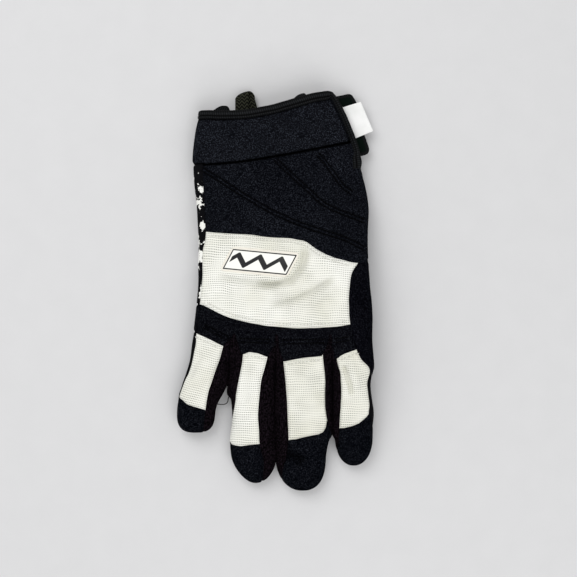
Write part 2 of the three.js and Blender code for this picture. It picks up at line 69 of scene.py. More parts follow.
# Lift of the index side by the thumb under it: y, rise
LIFT = np.array([
    (84, 0), (55, 2), (34, 6.5), (14, 11.3), (-5, 12.4), (-46, 12.0), (-66, 8.4), (-90, 2.4),
    (-106, 0),
])
LIFT_FROM_X, LIFT_TO_X = -30, 45

# Fingers. edges: y, left, right, half. back: y, left and right seam of the finger's back.
# cap: x, y of the line where the pale back ends and the dark cap starts.
FINGERS = {
    "little": dict(
        shoulder=-76, tip=-88.2, dome=2.9, lean=0.22,
        edges=[
            (-4, -42.0, -33.0, 5.5), (-18, -49.0, -29.4, 8.2), (-31, -51.9, -28.2, 8.6),
            (-43, -53.6, -28.9, 8.5), (-52, -56.2, -28.8, 8.4), (-57, -58.0, -29.4, 8.3),
            (-60, -58.9, -30.9, 8.2), (-64, -60.3, -32.9, 8.1), (-70, -61.2, -36.1, 8.0),
            (-76, -61.6, -37.6, 7.8), (-88, -61.4, -38.2, 7.4),
        ],
        back=[
            (-24, -49.4, -29.0), (-28, -49.8, -30.2), (-33, -50.0, -31.8), (-37.5, -51.1, -33.0),
            (-42, -52.1, -34.2), (-47, -53.5, -36.1), (-52, -55.4, -37.9), (-57, -57.6, -39.6),
            (-62, -59.5, -41.3), (-70, -61.9, -42.7), (-90, -64.0, -45.0),
        ],
        cap=[
            (-63.0, -65.0), (-58.5, -67.4), (-54.9, -70.2), (-50.8, -71.5), (-48.3, -72.2),
            (-42.6, -73.9), (-38.0, -74.6),
        ],
    ),
    "ring": dict(
        shoulder=-100, tip=-119.6, dome=1.9, lean=0.0,
        edges=[
            (-6, -20.0, -8.0, 6.0), (-18, -26.4, -1.4, 8.2), (-34, -28.4, 0.0, 8.6),
            (-54, -29.6, -0.3, 8.4), (-60, -30.3, -0.4, 8.3), (-64.5, -30.2, -0.4, 8.3),
            (-67, -28.2, -0.5, 8.2), (-70, -27.6, -0.5, 8.2), (-80, -27.2, -0.3, 8.0),
            (-93, -28.8, 0.0, 7.8), (-100, -28.2, 0.4, 7.6), (-110, -27.4, 1.2, 7.4),
            (-119, -26.2, 1.6, 7.2),
        ],
        back=[
            (-30, -20.2, -4.0), (-40, -20.5, -4.9), (-47, -21.5, -6.6), (-55, -23.2, -8.9),
            (-62, -24.6, -9.8), (-68, -25.7, -10.4), (-77, -27.6, -11.0), (-86, -31.0, -10.4),
            (-96, -31.0, -9.8), (-106, -31.0, -7.4), (-122, -31.0, -8.4),
        ],
        cap=[
            (-32.0, -92.8), (-28.0, -95.4), (-22.0, -96.1), (-17.0, -95.3), (-12.0, -94.8),
            (-5.0, -94.2),
        ],
    ),
    "middle": dict(
        shoulder=-104, tip=-124.3, dome=2.3, lean=0.0,
        edges=[
            (-6, 8.0, 26.0, 6.0), (-18, 1.2, 32.6, 8.2), (-34, -0.2, 34.4, 8.6),
            (-54, -0.8, 34.7, 8.4), (-68, -1.2, 34.9, 8.2), (-86, -1.0, 35.4, 8.0),
            (-89.5, -0.8, 34.9, 7.9), (-93, -0.5, 32.9, 7.8), (-104, -0.4, 31.0, 7.5),
            (-124, 1.2, 31.8, 7.2),
        ],
        back=[
            (-34, 3.4, 27.8), (-44, 4.2, 29.4), (-55, 5.4, 30.5), (-68, 6.5, 30.4),
            (-80, 7.0, 32.0), (-93, 7.4, 37.0), (-102, 6.2, 37.0), (-114, 3.1, 37.0),
            (-127, 1.0, 37.0),
        ],
        cap=[
            (4.0, -92.8), (7.4, -92.3), (12.3, -91.7), (17.1, -90.4), (22.0, -89.4), (26.5, -88.6),
            (29.3, -87.2), (31.0, -84.4), (31.7, -80.5), (34.0, -77.5), (38.0, -75.0),
        ],
    ),
    "index": dict(
        shoulder=-91, tip=-108.7, dome=2.15, lean=0.0,
        edges=[
            (-6, 40.5, 52.5, 6.0), (-18, 35.3, 57.2, 8.2), (-34, 34.1, 59.2, 8.6),
            (-42, 34.2, 60.0, 8.5), (-47, 34.3, 60.2, 8.5), (-52, 34.4, 59.0, 8.4),
            (-57, 34.4, 58.3, 8.4), (-62, 34.5, 58.6, 8.3), (-68, 34.7, 59.5, 8.2),
            (-75, 34.7, 60.5, 8.1), (-82, 34.7, 60.2, 8.0), (-86, 34.6, 60.1, 7.9),
            (-89.5, 35.0, 60.0, 7.8), (-93, 36.4, 60.0, 7.7),
            (-109, 36.8, 59.8, 7.2),
        ],
        back=[
            (-30, 34.6, 47.0), (-35.8, 35.3, 49.2), (-41.7, 36.2, 52.0), (-46.5, 37.5, 56.8),
            (-50, 38.7, 57.9), (-56, 39.2, 56.4), (-62, 39.6, 56.9), (-70, 39.3, 57.9),
            (-75.5, 39.0, 57.4), (-80, 38.8, 59.5), (-90, 38.2, 62.5), (-111, 34.6, 62.5),
        ],
        cap=[
            (34.0, -85.2), (41.4, -84.6), (46.2, -83.5), (51.1, -81.6), (56.0, -77.6), (58.0, -75.0),
            (63.0, -71.0),
        ],
    ),
}
# Thumb, folded under the palm: y, left, right, half, height of its own middle
THUMB = np.array([
    (54, 29.0, 43.0, 4.6, 10.6), (42, 29.0, 50.0, 5.4, 7.8), (28, 30.6, 55.4, 6.0, 6.1),
    (10, 32.4, 58.0, 6.0, 5.7), (-15, 33.8, 59.2, 5.9, 5.6), (-34, 35.0, 59.4, 5.8, 5.5),
    (-52, 36.0, 59.6, 5.6, 5.4),
])

# Seams and edges of the plan: x, y
CUFF_TOP = np.array([
    (-60, 110.9), (-44, 111.2), (-33, 110.7), (-19.4, 111.1), (-7, 113.2), (-2, 114.2),
    (2.7, 115.6), (7.6, 117.0), (17, 119.8), (22, 121.2), (27, 122.1), (31.9, 122.8), (34.6, 122.3),
])
VENT_EDGE = np.array([
    (34.6, 122.3), (37.3, 119.4), (40.8, 113.0), (43.5, 107.6), (48.2, 96.0), (51.2, 87.0),
    (52.1, 80.5), (52.3, 75.2),
])
CUFF_SEAM = np.array([(-62, 78.4), (-38, 78.2), (-16, 80.3), (15, 85.6), (45, 91.7), (55, 93.7)])
BACK_LEFT = np.array([(-45.5, 79), (-45.2, 66), (-44.7, 56), (-43.9, 41), (-43.4, 36.1)])
KNUCKLE_TOP = np.array([
    (-43.4, 36.1), (-30, 35.0), (-16, 34.3), (-5, 32.8), (8, 32.0), (13, 31.1), (18, 30.0),
    (25, 25.1), (31.5, 21.7), (38, 19.5), (50.3, 16.9), (60, 18.9),
])
KNUCKLE_RIGHT = np.array([(50.3, 16.9), (46.3, 10.5), (44.7, 0), (44.4, -8), (45.2, -20.5)])
KNUCKLE_BOTTOM = np.array([
    (-60, -8.6), (-47.2, -8.6), (-28, -16.9), (-8, -21.3), (2, -22.3), (12, -23.1), (22, -22.9),
    (30, -22.4), (38, -21.7), (45.2, -20.5),
])
KNUCKLE_LEFT = np.array([(-43.4, 36.1), (-43.9, 31), (-45.2, 25), (-45.5, 8), (-47.2, -8.6)])
BAND_BOTTOM = np.array([
    (-60, -22.0), (-41, -29.9), (-32.2, -34.4), (-25.6, -27.5), (-21.2, -39.6), (-16.5, -37.8),
    (-11, -38.6), (-5, -41.0), (0.4, -32.0), (4.0, -43.6), (15, -41.3), (22, -40.5), (28.2, -39.9),
    (33.0, -30.0), (36.1, -41.6), (41.1, -38.6), (45.9, -36.9), (49.0, -35.8),
])
BAND_RIGHT = np.array([
    (45.2, -20.5), (49.0, -35.8), (51.8, -41.7), (56.6, -46.5), (57.7, -49.0), (58.8, -53.0),
])
SIDE_END = -53.0
BADGE = np.array([(-26.8, 26.9), (-34.7, 12.1), (7.1, 7.95), (15.0, 22.8)])
BADGE_LONG, BADGE_WIDE, BADGE_LIFT = 42.0, 15.5, 1.2  # its length, width and height
TAB = np.array([
    (33.0, 119.6), (46.6, 122.4), (50.0, 117.0), (54.6, 97.4), (58.1, 87.4), (56.9, 84.6),
    (52.4, 83.4), (45.0, 84.0),
])
TAB_LOW, TAB_THICK = -2.6, 1.9
LABEL = np.array([(34.4, 111.4), (52.6, 117.1), (60.3, 98.8), (44.0, 92.2)])
LABEL_LOW, LABEL_THICK = -0.4, 0.9


# Shape functions

def column(table, k, at):
    """Column k of a table where its column 0 equals at: cubic pieces through the rows, with the
    slope at a row that of the chord between its neighbours."""
    rows = table[np.argsort(table[:, 0])]
    key, value = rows[:, 0], rows[:, k]
    slope = np.gradient(value, key)
    slope[1:-1] = (value[2:] - value[:-2]) / (key[2:] - key[:-2])
    at = np.clip(at, key[0], key[-1])
    i = np.clip(np.searchsorted(key, at, side="right") - 1, 0, len(key) - 2)
    span = key[i + 1] - key[i]
    t = (at - key[i]) / span
    return (
        value[i] * (1 + 2 * t) * (1 - t) ** 2 + slope[i] * span * t * (1 - t) ** 2
        + value[i + 1] * t * t * (3 - 2 * t) + slope[i + 1] * span * t * t * (t - 1)
    )


def power(value, exponent):
    """The value's size raised to the exponent, with the value's sign."""
    return np.sign(value) * np.abs(value) ** exponent


def smoothstep(low, high, value):
    """0 below low, 1 above high, and 3tt - 2ttt between them."""
    t = np.clip((value - low) / (high - low), 0, 1)
    return t * t * (3 - 2 * t)


def middle(x, y):
    """Height of the middle of the thickness: half the thickness less the flattening, plus the
    thumb's lift, which grows from the little finger's side to the index side."""
    lifted = column(LIFT, 1, y) * smoothstep(LIFT_FROM_X, LIFT_TO_X, x)
    return column(HALF, 1, y) - PRESS + lifted


def make_tube(edges, halves, shoulder, tip, dome, exponent, slim, girth, mid=None):
    """An oval tube along -Y. Its section is the superellipse with the exponent; slim is the ratio
    of its sides, for spacing points evenly round it. Past the shoulder it closes so that
    (depth share)^dome + close^dome = 1. run is the length along its side in the plan, 0 at the
    shoulder. A girth of 0 closes only the height."""
    turn = np.linspace(0, np.pi / 2, 90)
    t = np.sin(turn)
    close = (1 - t ** dome) ** (1 / dome)
    y = shoulder + (tip - shoulder) * t
    run = np.append(0, np.cumsum(np.hypot(np.diff(y), girth * np.diff(close))))
    swing = np.linspace(0, np.pi, 721)
    steps = np.hypot(
        np.diff(power(np.sin(swing), 2 / exponent)), slim * np.diff(power(np.cos(swing), 2 / exponent))
    )
    length = np.append(0, np.cumsum(steps))
    return SimpleNamespace(
        edges=np.array(edges, float), halves=halves, shoulder=shoulder, tip=tip, dome=dome,
        exponent=exponent, girth=girth, mid=mid, crosses=[], run=np.append(-200, run),
        y=np.append(shoulder + 200, y), close=np.append(1, close), swing=swing,
        share=length / length[-1], length=length[-1], last=run[-1],
    )


def section(tube, run):
    """y, how far the dome has closed, the middle, half the width and half the thickness."""
    y, close = np.interp(run, tube.run, tube.y), np.interp(run, tube.run, tube.close)
    left, right = column(tube.edges, 1, y), column(tube.edges, 2, y)
    reach = (right - left) / 2 * (close if tube.girth else 1)
    half = column(*tube.halves, y) * close
    return y, close, (left + right) / 2, np.maximum(reach, 1e-3), np.maximum(half, 1e-3)


def skin(tube, share, run):
    """x, y, z of the tube alone, and the cosine of the swing from its top. share is the arc length
    from the top, as a part of half the section: -0.5 is at the left side and 1 underneath."""
    y, _, centre, reach, half = section(tube, run)
    share = (share + 1) % 2 - 1
    swing = np.sign(share) * np.interp(np.abs(share), tube.share, tube.swing)
    x = centre + reach * power(np.sin(swing), 2 / tube.exponent)
    mid = middle(x, y) if tube.mid is None else column(*tube.mid, y)
    return x, y + 0 * x, mid + half * power(np.cos(swing), 2 / tube.exponent), np.cos(swing)


def height(tube, x, y, side):
    """Height of the tube's top (side 1) or underside (side -1) over points of the plan. Beside
    the tube, and before its start, it falls away steeply."""
    t = np.clip((tube.shoulder - y) / (tube.shoulder - tube.tip), 0, 1)
    close = (1 - t ** tube.dome) ** (1 / tube.dome)
    left, right = column(tube.edges, 1, y), column(tube.edges, 2, y)
    reach = np.maximum((right - left) / 2 * (close if tube.girth else 1), 0.05)
    half = column(*tube.halves, y) * close
    off = np.abs(x - (left + right) / 2) / reach
    inside = (1 - np.clip(off, 0, 1) ** tube.exponent) ** (1 / tube.exponent)
    away = 30 * np.clip(off - 1, 0, None) + 2 * np.clip(y - tube.edges[0, 0], 0, None)
    away = away + 2 * np.clip(tube.tip - y, 0, None)
    return middle(x, y) + side * (half * inside - away)


def surface(tube, share, run):
    """Outside of the glove: the tube's skin, raised or lowered to the soft maximum, the logarithm
    of a sum of exponentials, of its own height and those of the tubes it crosses, and bent off
    the surface below."""
    x, y, z, cosine = skin(tube, share, run)
    for side in (1, -1):
        if tube.crosses:
            stack = side / SOFTNESS * np.stack([z] + [height(o, x, y, side) for o in tube.crosses])
            top = stack.max(0)
            soft = side * SOFTNESS * (top + np.log(np.exp(stack - top).sum(0)))
            z = z + smoothstep(0.02, 0.3, side * cosine) * (soft - z)
    z = (z + np.sqrt(z * z + FLATTENING)) / 2
    return np.stack([x, y, z], -1)


hand = make_tube(HAND, (HALF, 1), -30, -44.6, 2, 2.7, 0.19, 0)
fingers = {}
for name, spec in FINGERS.items():
    edges = np.array(spec["edges"])
    fingers[name] = make_tube(
        edges, (edges, 3), spec["shoulder"], spec["tip"], spec["dome"], 2.3, 0.55, 13
    )
    fingers[name].crosses = [hand]
hand.crosses = list(fingers.values())
thumb = make_tube(THUMB, (THUMB, 3), -34, -51.5, 2.4, 2.3, 0.47, 12, mid=(THUMB, 4))


# Borders of panels, as functions of the run along a tube

def level(tube, side):
    """Where the section is SIDE_SEAM under the middle, on the left (-1) or the right (1)."""
    def share(run):
        half = section(tube, run)[4]
        drop = np.clip(-SIDE_SEAM / half, 0, 1) ** (tube.exponent / 2)
        return side * np.interp(np.arccos(-drop), tube.swing, tube.share)
    return share


def beside(tube, table, k):
    """Where column k of a table of plan lines, keyed by y, crosses the tube's top. Past WRAP_FROM
    of the half width the line is wrapped on down the side, and held by a soft minimum, the
    logarithm of a sum of exponentials, at 0.6 of the way from the widest place to the seam level."""
    def share(run):
        y, _, centre, reach, _ = section(tube, run)
        off = np.abs((column(table, k, y) - centre) / reach)
        swing = np.arcsin(np.clip(off, 0, WRAP_FROM) ** (tube.exponent / 2))
        inside = np.interp(swing, tube.swing, tube.share)
        widest = np.interp(np.pi / 2, tube.swing, tube.share)
        far = inside + WRAP_PACE * np.clip(off - WRAP_FROM, 0, None) / tube.length
        limit = widest + 0.6 * (level(tube, 1)(run) - widest)
        held = -WRAP_SOFT * np.log(np.exp(-far / WRAP_SOFT) + np.exp(-limit / WRAP_SOFT))
        return np.sign(column(table, k, y) - centre) * held
    return share


def spaced(count):
    """Steps from 0 to 1, closer together at both ends: a mix of even and cosine spacing."""
    u = np.linspace(0, 1, count)
    return (1 - CROWDING) * u + CROWDING * (1 - np.cos(np.pi * u)) / 2


def meets(tube, left, right, share, line):
    """Run at which each column of a panel meets a plan line y(x), by halving the interval; a
    number stands for itself."""
    if not callable(line):
        return np.full(share.shape, float(line))
    low, high = np.full(share.shape, -170.0), np.full(share.shape, tube.last)
    for _ in range(40):
        run = (low + high) / 2
        x, y, _, _ = skin(tube, left(run) + (right(run) - left(run)) * share, run)
        past = y < line(x)
        low, high = np.where(past, low, run), np.where(past, run, high)
    return (low + high) / 2


def plan_line(table):
    """The smooth line through a table of x, y as a function y(x)."""
    return lambda x: column(table, 1, x)


def by_height(table):
    """A table of x, y keyed by y instead."""
    return table[:, ::-1]


def panel(tube, left, right, top, bottom, across, along):
    """Grid over the panel between two side borders and two end lines, and its UV in millimetres:
    arc length round the tube and y. Rows run from top to bottom."""
    share = spaced(across)
    start, end = (meets(tube, left, right, share, line) for line in (top, bottom))
    run = start + (end - start) * spaced(along)[:, None]
    at = left(run) + (right(run) - left(run)) * share
    points = surface(tube, at, run)
    reach = section(tube, run)[3]
    return points, np.stack([at * reach * tube.length, points[..., 1]], -1)


# Relief on a grid

def normals(points, towards):
    """Unit normals of a grid, the cross product of its two directions, turned so that on average
    they point along towards, a vector or a vector for each point."""
    n = np.cross(np.gradient(points, axis=1), np.gradient(points, axis=0))
    n /= np.maximum(np.linalg.norm(n, axis=-1, keepdims=True), 1e-9)
    return n if (n * towards).sum() > 0 else -n


def from_border(points, borders):
    """Distance along the grid to the nearest of the borders named l, r, t and b."""
    across = np.linalg.norm(np.diff(points, axis=1), axis=-1).cumsum(1)
    along = np.linalg.norm(np.diff(points, axis=0), axis=-1).cumsum(0)
    across = np.pad(across, ((0, 0), (1, 0)))
    along = np.pad(along, ((1, 0), (0, 0)))
    found = {"l": across, "r": across[:, -1:] - across, "t": along, "b": along[-1:] - along}
    return np.min([found[b] for b in borders], axis=0)


def flow(points, step):
    """A smooth plan line through points, with a point about every step millimetres."""
    points = np.array(points, float)
    run = np.append(0, np.linalg.norm(np.diff(points, axis=0), axis=-1).cumsum())
    at = np.linspace(0, run[-1], max(int(run[-1] / step), 2) + 1)
    table = np.column_stack([run, points])
    return np.stack([column(table, 1, at), column(table, 2, at)], -1)


def shifted(line, distance):
    """A plan line moved to its left by a distance, along its own normals."""
    t = np.gradient(line, axis=0)
    t /= np.linalg.norm(t, axis=-1, keepdims=True)
    return line + distance * np.stack([-t[:, 1], t[:, 0]], -1)


def crease(x, y, line, width, depth, fading=0.15):
    """depth * exp(-(d / width)^2), d the distance from a plan line, faded out over this share of
    the line at its two ends."""
    line = np.array(line, float)
    best = np.full(np.shape(x), 1e9)
    along = np.zeros(np.shape(x))
    lengths = np.linalg.norm(np.diff(line, axis=0), axis=-1)
    starts = np.append(0, lengths.cumsum())
    for (ax, ay), (bx, by), length, start in zip(line[:-1], line[1:], lengths, starts):
        t = np.clip(((x - ax) * (bx - ax) + (y - ay) * (by - ay)) / length ** 2, 0, 1)
        d = np.hypot(x - ax - t * (bx - ax), y - ay - t * (by - ay))
        along = np.where(d < best, (start + t * length) / starts[-1], along)
        best = np.minimum(d, best)
    fade = smoothstep(0, fading, along) * smoothstep(1, 1 - fading, along)
    return depth * np.exp(-(best / width) ** 2) * fade


def ripple(x, y, seed, size):
    """Soft unevenness of stuffed cloth: six plane waves of 14 to 45 mm, their directions, phases
    and lengths drawn from the seed."""
    draw = np.random.default_rng(seed)
    total = 0
    for _ in range(6):
        turn, phase, wave = draw.uniform(0, np.pi), draw.uniform(0, 2 * np.pi), draw.uniform(14, 45)
        total = total + np.sin(2 * np.pi * (x * np.cos(turn) + y * np.sin(turn)) / wave + phase)
    return size * total / 6


# Meshes

def sheet_part(grid, uv, towards, borders="lrtb", relief=0.0, seam=0.0):
    """Closed cloth from a grid: its outside moved along the normals by the relief, less the tuck
    at the named borders, its inside one wall further in, and a strip between the two edges. seam
    is the share of painted shade, 0 to 1, as in the grooves where stitching presses the cloth: its
    colour is painted darker there."""
    n = normals(grid, towards)
    span = np.linalg.norm(np.diff(grid, axis=1), axis=-1).sum(1)[:, None]
    room = np.clip(span / NARROW, 0.05, 1)
    edge = np.exp(-(from_border(grid, borders) / TUCK_REACH) ** 2)
    outer = grid + n * (relief - TUCK * edge * room)[..., None]
    outer[..., 2] = np.maximum(outer[..., 2], 0)
    inner = outer - normals(outer, towards) * (WALL * room)[..., None]
    inner[..., 2] = np.maximum(inner[..., 2], 0)
    rows, cols = grid.shape[:2]
    i = np.arange(rows * cols).reshape(rows, cols)
    quads = np.stack([i[:-1, :-1], i[:-1, 1:], i[1:, 1:], i[1:, :-1]], -1).reshape(-1, 4)
    ring = np.concatenate([i[0, :-1], i[:-1, -1], i[-1, :0:-1], i[:0:-1, 0]])
    strip = np.stack([ring, np.roll(ring, -1), np.roll(ring, -1) + i.size, ring + i.size], -1)
    direct = np.cross(grid[:-1, 1:] - grid[:-1, :-1], grid[1:, :-1] - grid[:-1, :-1])
    if (direct * n[:-1, :-1]).sum() < 0:
        faces = [quads[:, ::-1], quads + i.size, strip]
    else:
        faces = [quads, quads[:, ::-1] + i.size, strip[:, ::-1]]
    marks = np.concatenate([np.zeros(len(quads)), np.ones(len(quads)), np.zeros(len(strip))])
    return SimpleNamespace(
        points=np.concatenate([outer.reshape(-1, 3), inner.reshape(-1, 3)]),
        faces=[np.concatenate(faces)], uv=np.concatenate([uv.reshape(-1, 2)] * 2), marks=[marks],
        seam=np.concatenate([np.clip(seam + 0 * edge, 0, 1).ravel()] * 2), outer=outer, normals=n,
    )


def round_part(grid, uv=None, seam=0.0):
    """Closed tube from a grid whose columns go once round it, its two ends capped."""
    rows, cols = grid.shape[:2]
    i = np.arange(rows * cols).reshape(rows, cols)
    j = np.roll(i, -1, axis=1)
    quads = np.stack([i[:-1], j[:-1], j[1:], i[1:]], -1).reshape(-1, 4)
    caps = np.stack([i[0, ::-1], i[-1]])
    points = grid.reshape(-1, 3)
    a, b, c = (points[quads[:, k]] - points.mean(0) for k in (0, 1, 2))
    volume = (np.cross(a, b) * c).sum()
    if volume < 0:
        quads, caps = quads[:, ::-1], caps[:, ::-1]
    uv = np.zeros((rows * cols, 2)) if uv is None else uv.reshape(-1, 2)
    marks = [np.zeros(len(quads)), np.zeros(2)]
    seam = (seam + 0 * grid[..., 0]).ravel()
    return SimpleNamespace(points=points, faces=[quads, caps], uv=uv, marks=marks, seam=seam)


def make_piece(name, parts, materials, nodes=()):
    """One object from parts in millimetres. Faces of each part keep their corner count."""
    counts = np.cumsum([0] + [len(p.points) for p in parts])
    faces = [(f + start) for p, start in zip(parts, counts) for f in p.faces]
    marks = np.concatenate([m for p in parts for m in p.marks]).astype(np.int32)
    corners = np.concatenate([f.ravel() for f in faces]).astype(np.int32)
    totals = np.concatenate([np.full(len(f), f.shape[1]) for f in faces]).astype(np.int32)
    points = np.concatenate([p.points for p in parts]) * MM
    uv = np.concatenate([p.uv for p in parts])
    mesh = bpy.data.meshes.new(name)
    mesh.vertices.add(len(points))
    mesh.vertices.foreach_set("co", points.astype(np.float32).ravel())
    mesh.loops.add(len(corners))
    mesh.loops.foreach_set("vertex_index", corners)
    mesh.polygons.add(len(totals))
    mesh.polygons.foreach_set("loop_start", np.append(0, totals.cumsum()[:-1]).astype(np.int32))
    for material in materials:
        mesh.materials.append(material)
    mesh.polygons.foreach_set("material_index", np.minimum(marks, len(materials) - 1))
    mesh.polygons.foreach_set("use_smooth", np.ones(len(totals), bool))
    layer = mesh.uv_layers.new(name="cloth_mm")
    layer.data.foreach_set("uv", uv[corners].astype(np.float32).ravel())
    # The seam attribute: painted shade, by which the materials darken their colour
    seam = np.concatenate([p.seam for p in parts]).astype(np.float32)
    mesh.attributes.new("seam", "FLOAT", "POINT").data.foreach_set("value", seam)
    mesh.update(calc_edges=True)
    mesh.validate()
    piece = bpy.data.objects.new(name, mesh)
    bpy.context.scene.collection.objects.link(piece)
    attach(piece, "root")
    if nodes:
        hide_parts(*nodes)


def capsules(at, way, top, length, radius):
    """Stitches: closed four-ring profiles of six sides, in millimetres, one for each point at,
    lying along its direction way with its direction top upwards."""
    way = way - (way * top).sum(1, keepdims=True) * top
    way = way / np.linalg.norm(way, axis=1, keepdims=True)
    side = np.cross(top, way)
    ring = np.linspace(0, 2 * np.pi, 6, endpoint=False)
    along = np.array([-0.5, -0.34, 0.34, 0.5]) * length
    wide = np.array([0.35, 1, 1, 0.35]) * radius
    grid = (
        at[:, None, None] + way[:, None, None] * along[None, :, None, None]
        + side[:, None, None] * (wide[:, None] * np.cos(ring))[None, ..., None]
        + top[:, None, None] * (wide[:, None] * np.sin(ring))[None, ..., None]
    )
    one = round_part(grid[0])
    offset = 24 * np.arange(len(grid))[:, None, None]
    faces = [(f[None] + offset).reshape(-1, f.shape[1]) for f in one.faces]
    return SimpleNamespace(
        points=grid.reshape(-1, 3), faces=faces, uv=np.zeros((grid[..., 0].size, 2)),
        marks=[np.zeros(len(f)) for f in faces], seam=np.zeros(grid[..., 0].size),
    )


def stitches(lines, part, pitch, length, radius, sink=0.05):
    """Capsules of thread along plan lines, laid on the nearest upward-facing point of a panel."""
    lying = part.normals.reshape(-1, 3)[:, 2] > 0.15
    cloth = part.outer.reshape(-1, 3)[lying]
    up = normals(part.outer, part.normals).reshape(-1, 3)[lying]
    spots = np.concatenate([flow(line, pitch) for line in lines])
    ways = np.concatenate([np.gradient(flow(line, pitch), axis=0) for line in lines])
    blocks = np.array_split(spots, max(len(spots) // 100, 1))
    nearest = np.concatenate([
        np.linalg.norm(block[:, None] - cloth[None, :, :2], axis=-1).argmin(1) for block in blocks
    ])
    at = np.column_stack([spots, cloth[nearest][:, 2]]) + up[nearest] * (radius - sink)
    return capsules(at, np.column_stack([ways, 0 * ways[:, 0]]), up[nearest], length, radius)


# Materials

# Noise runs in object coordinates, in metres, and waves run in the cloth's UV, in millimetres
PER_MM = 1 / MM  # a noise texture's scale for one feature to a millimetre
WAVE = np.pi / 10  # a wave texture's period at scale 1
COLOURS = dict(out=2, data_type="RGBA")  # a mix node that mixes colours, and its output


def shade(code):
    """An sRGB hex colour as linear red, green, blue and alpha."""
    value = np.array([int(code[i:i + 2], 16) for i in (0, 2, 4)]) / 255
    value = np.where(value <= 0.04045, value / 12.92, ((value + 0.055) / 1.055) ** 2.4)
    return (*value, 1.0)


def add(tree, kind, sockets=None, out=0, **settings):
    """Adds a node and gives one of its outputs. sockets maps an input's name or number to a value
    or to another node's output."""
    node = tree.nodes.new("ShaderNode" + kind)
    for name, value in settings.items():
        setattr(node, name, value)
    for name, value in (sockets or {}).items():
        if isinstance(value, bpy.types.NodeSocket):
            tree.links.new(value, node.inputs[name])
        else:
            node.inputs[name].default_value = value
    return node.outputs[out] if node.outputs else None


def start_material(name):
    """An empty node material, with its object coordinates and its cloth UV in millimetres."""
    material = bpy.data.materials.new(name)
    material.use_nodes = True
    tree = material.node_tree
    tree.nodes.clear()
    return material, tree, add(tree, "TexCoord", out="Object"), add(tree, "UVMap", uv_map="cloth_mm")


def finish_material(tree, colour, roughness, relief, depth, **constants):
    """Principled shader with a bump, its depth in millimetres; constants sit on its sockets."""
    bump = add(tree, "Bump", {"Height": relief, "Distance": depth * MM, "Strength": 1.0})
    sockets = {"Base Color": colour, "Roughness": roughness, "Normal": bump}
    sockets.update({name.replace("_", " "): value for name, value in constants.items()})
    add(tree, "OutputMaterial", {"Surface": add(tree, "BsdfPrincipled", sockets)})


def softshell(name, ground, fleck):
    """Bonded softshell: a brushed knit face over fleece. Its yarn is melange, so the near-black
    ground carries fine grey flecks about 0.7 mm long, in soft patches. In the grooves where
    stitching presses the face, and along overlapping edges, the seam attribute holds painted shade:
    there the flecks go and the colour is painted black."""
    material, tree, place, _ = start_material(name)
    yarn = add(tree, "TexNoise", {"Vector": place, "Scale": 1.5 * PER_MM, "Detail": 2.0})
    worn = add(tree, "TexNoise", {"Vector": place, "Scale": 0.038 * PER_MM, "Detail": 2.0})
    seam = add(tree, "Attribute", out="Fac", attribute_name="seam")
    flecks = add(tree, "MapRange", {0: yarn, 1: 0.48, 2: 0.74})
    patches = add(tree, "MapRange", {0: worn, 1: 0.3, 2: 0.7, 3: 0.55, 4: 1.0})
    # Painted shade: no flecks and a black colour where the seam attribute is 1
    unshaded = add(tree, "MapRange", {0: seam, 3: 1.0, 4: 0.0})
    share = add(tree, "Math", {0: flecks, 1: patches}, operation="MULTIPLY")
    share = add(tree, "Math", {0: share, 1: unshaded}, operation="MULTIPLY")
    colour = add(tree, "Mix", {0: seam, 6: shade(ground), 7: shade("000000")}, **COLOURS)
    colour = add(tree, "Mix", {0: share, 6: colour, 7: shade(fleck)}, **COLOURS)
    finish_material(tree, colour, 0.9, yarn, 0.14, Specular_IOR_Level=0.01)
    return material


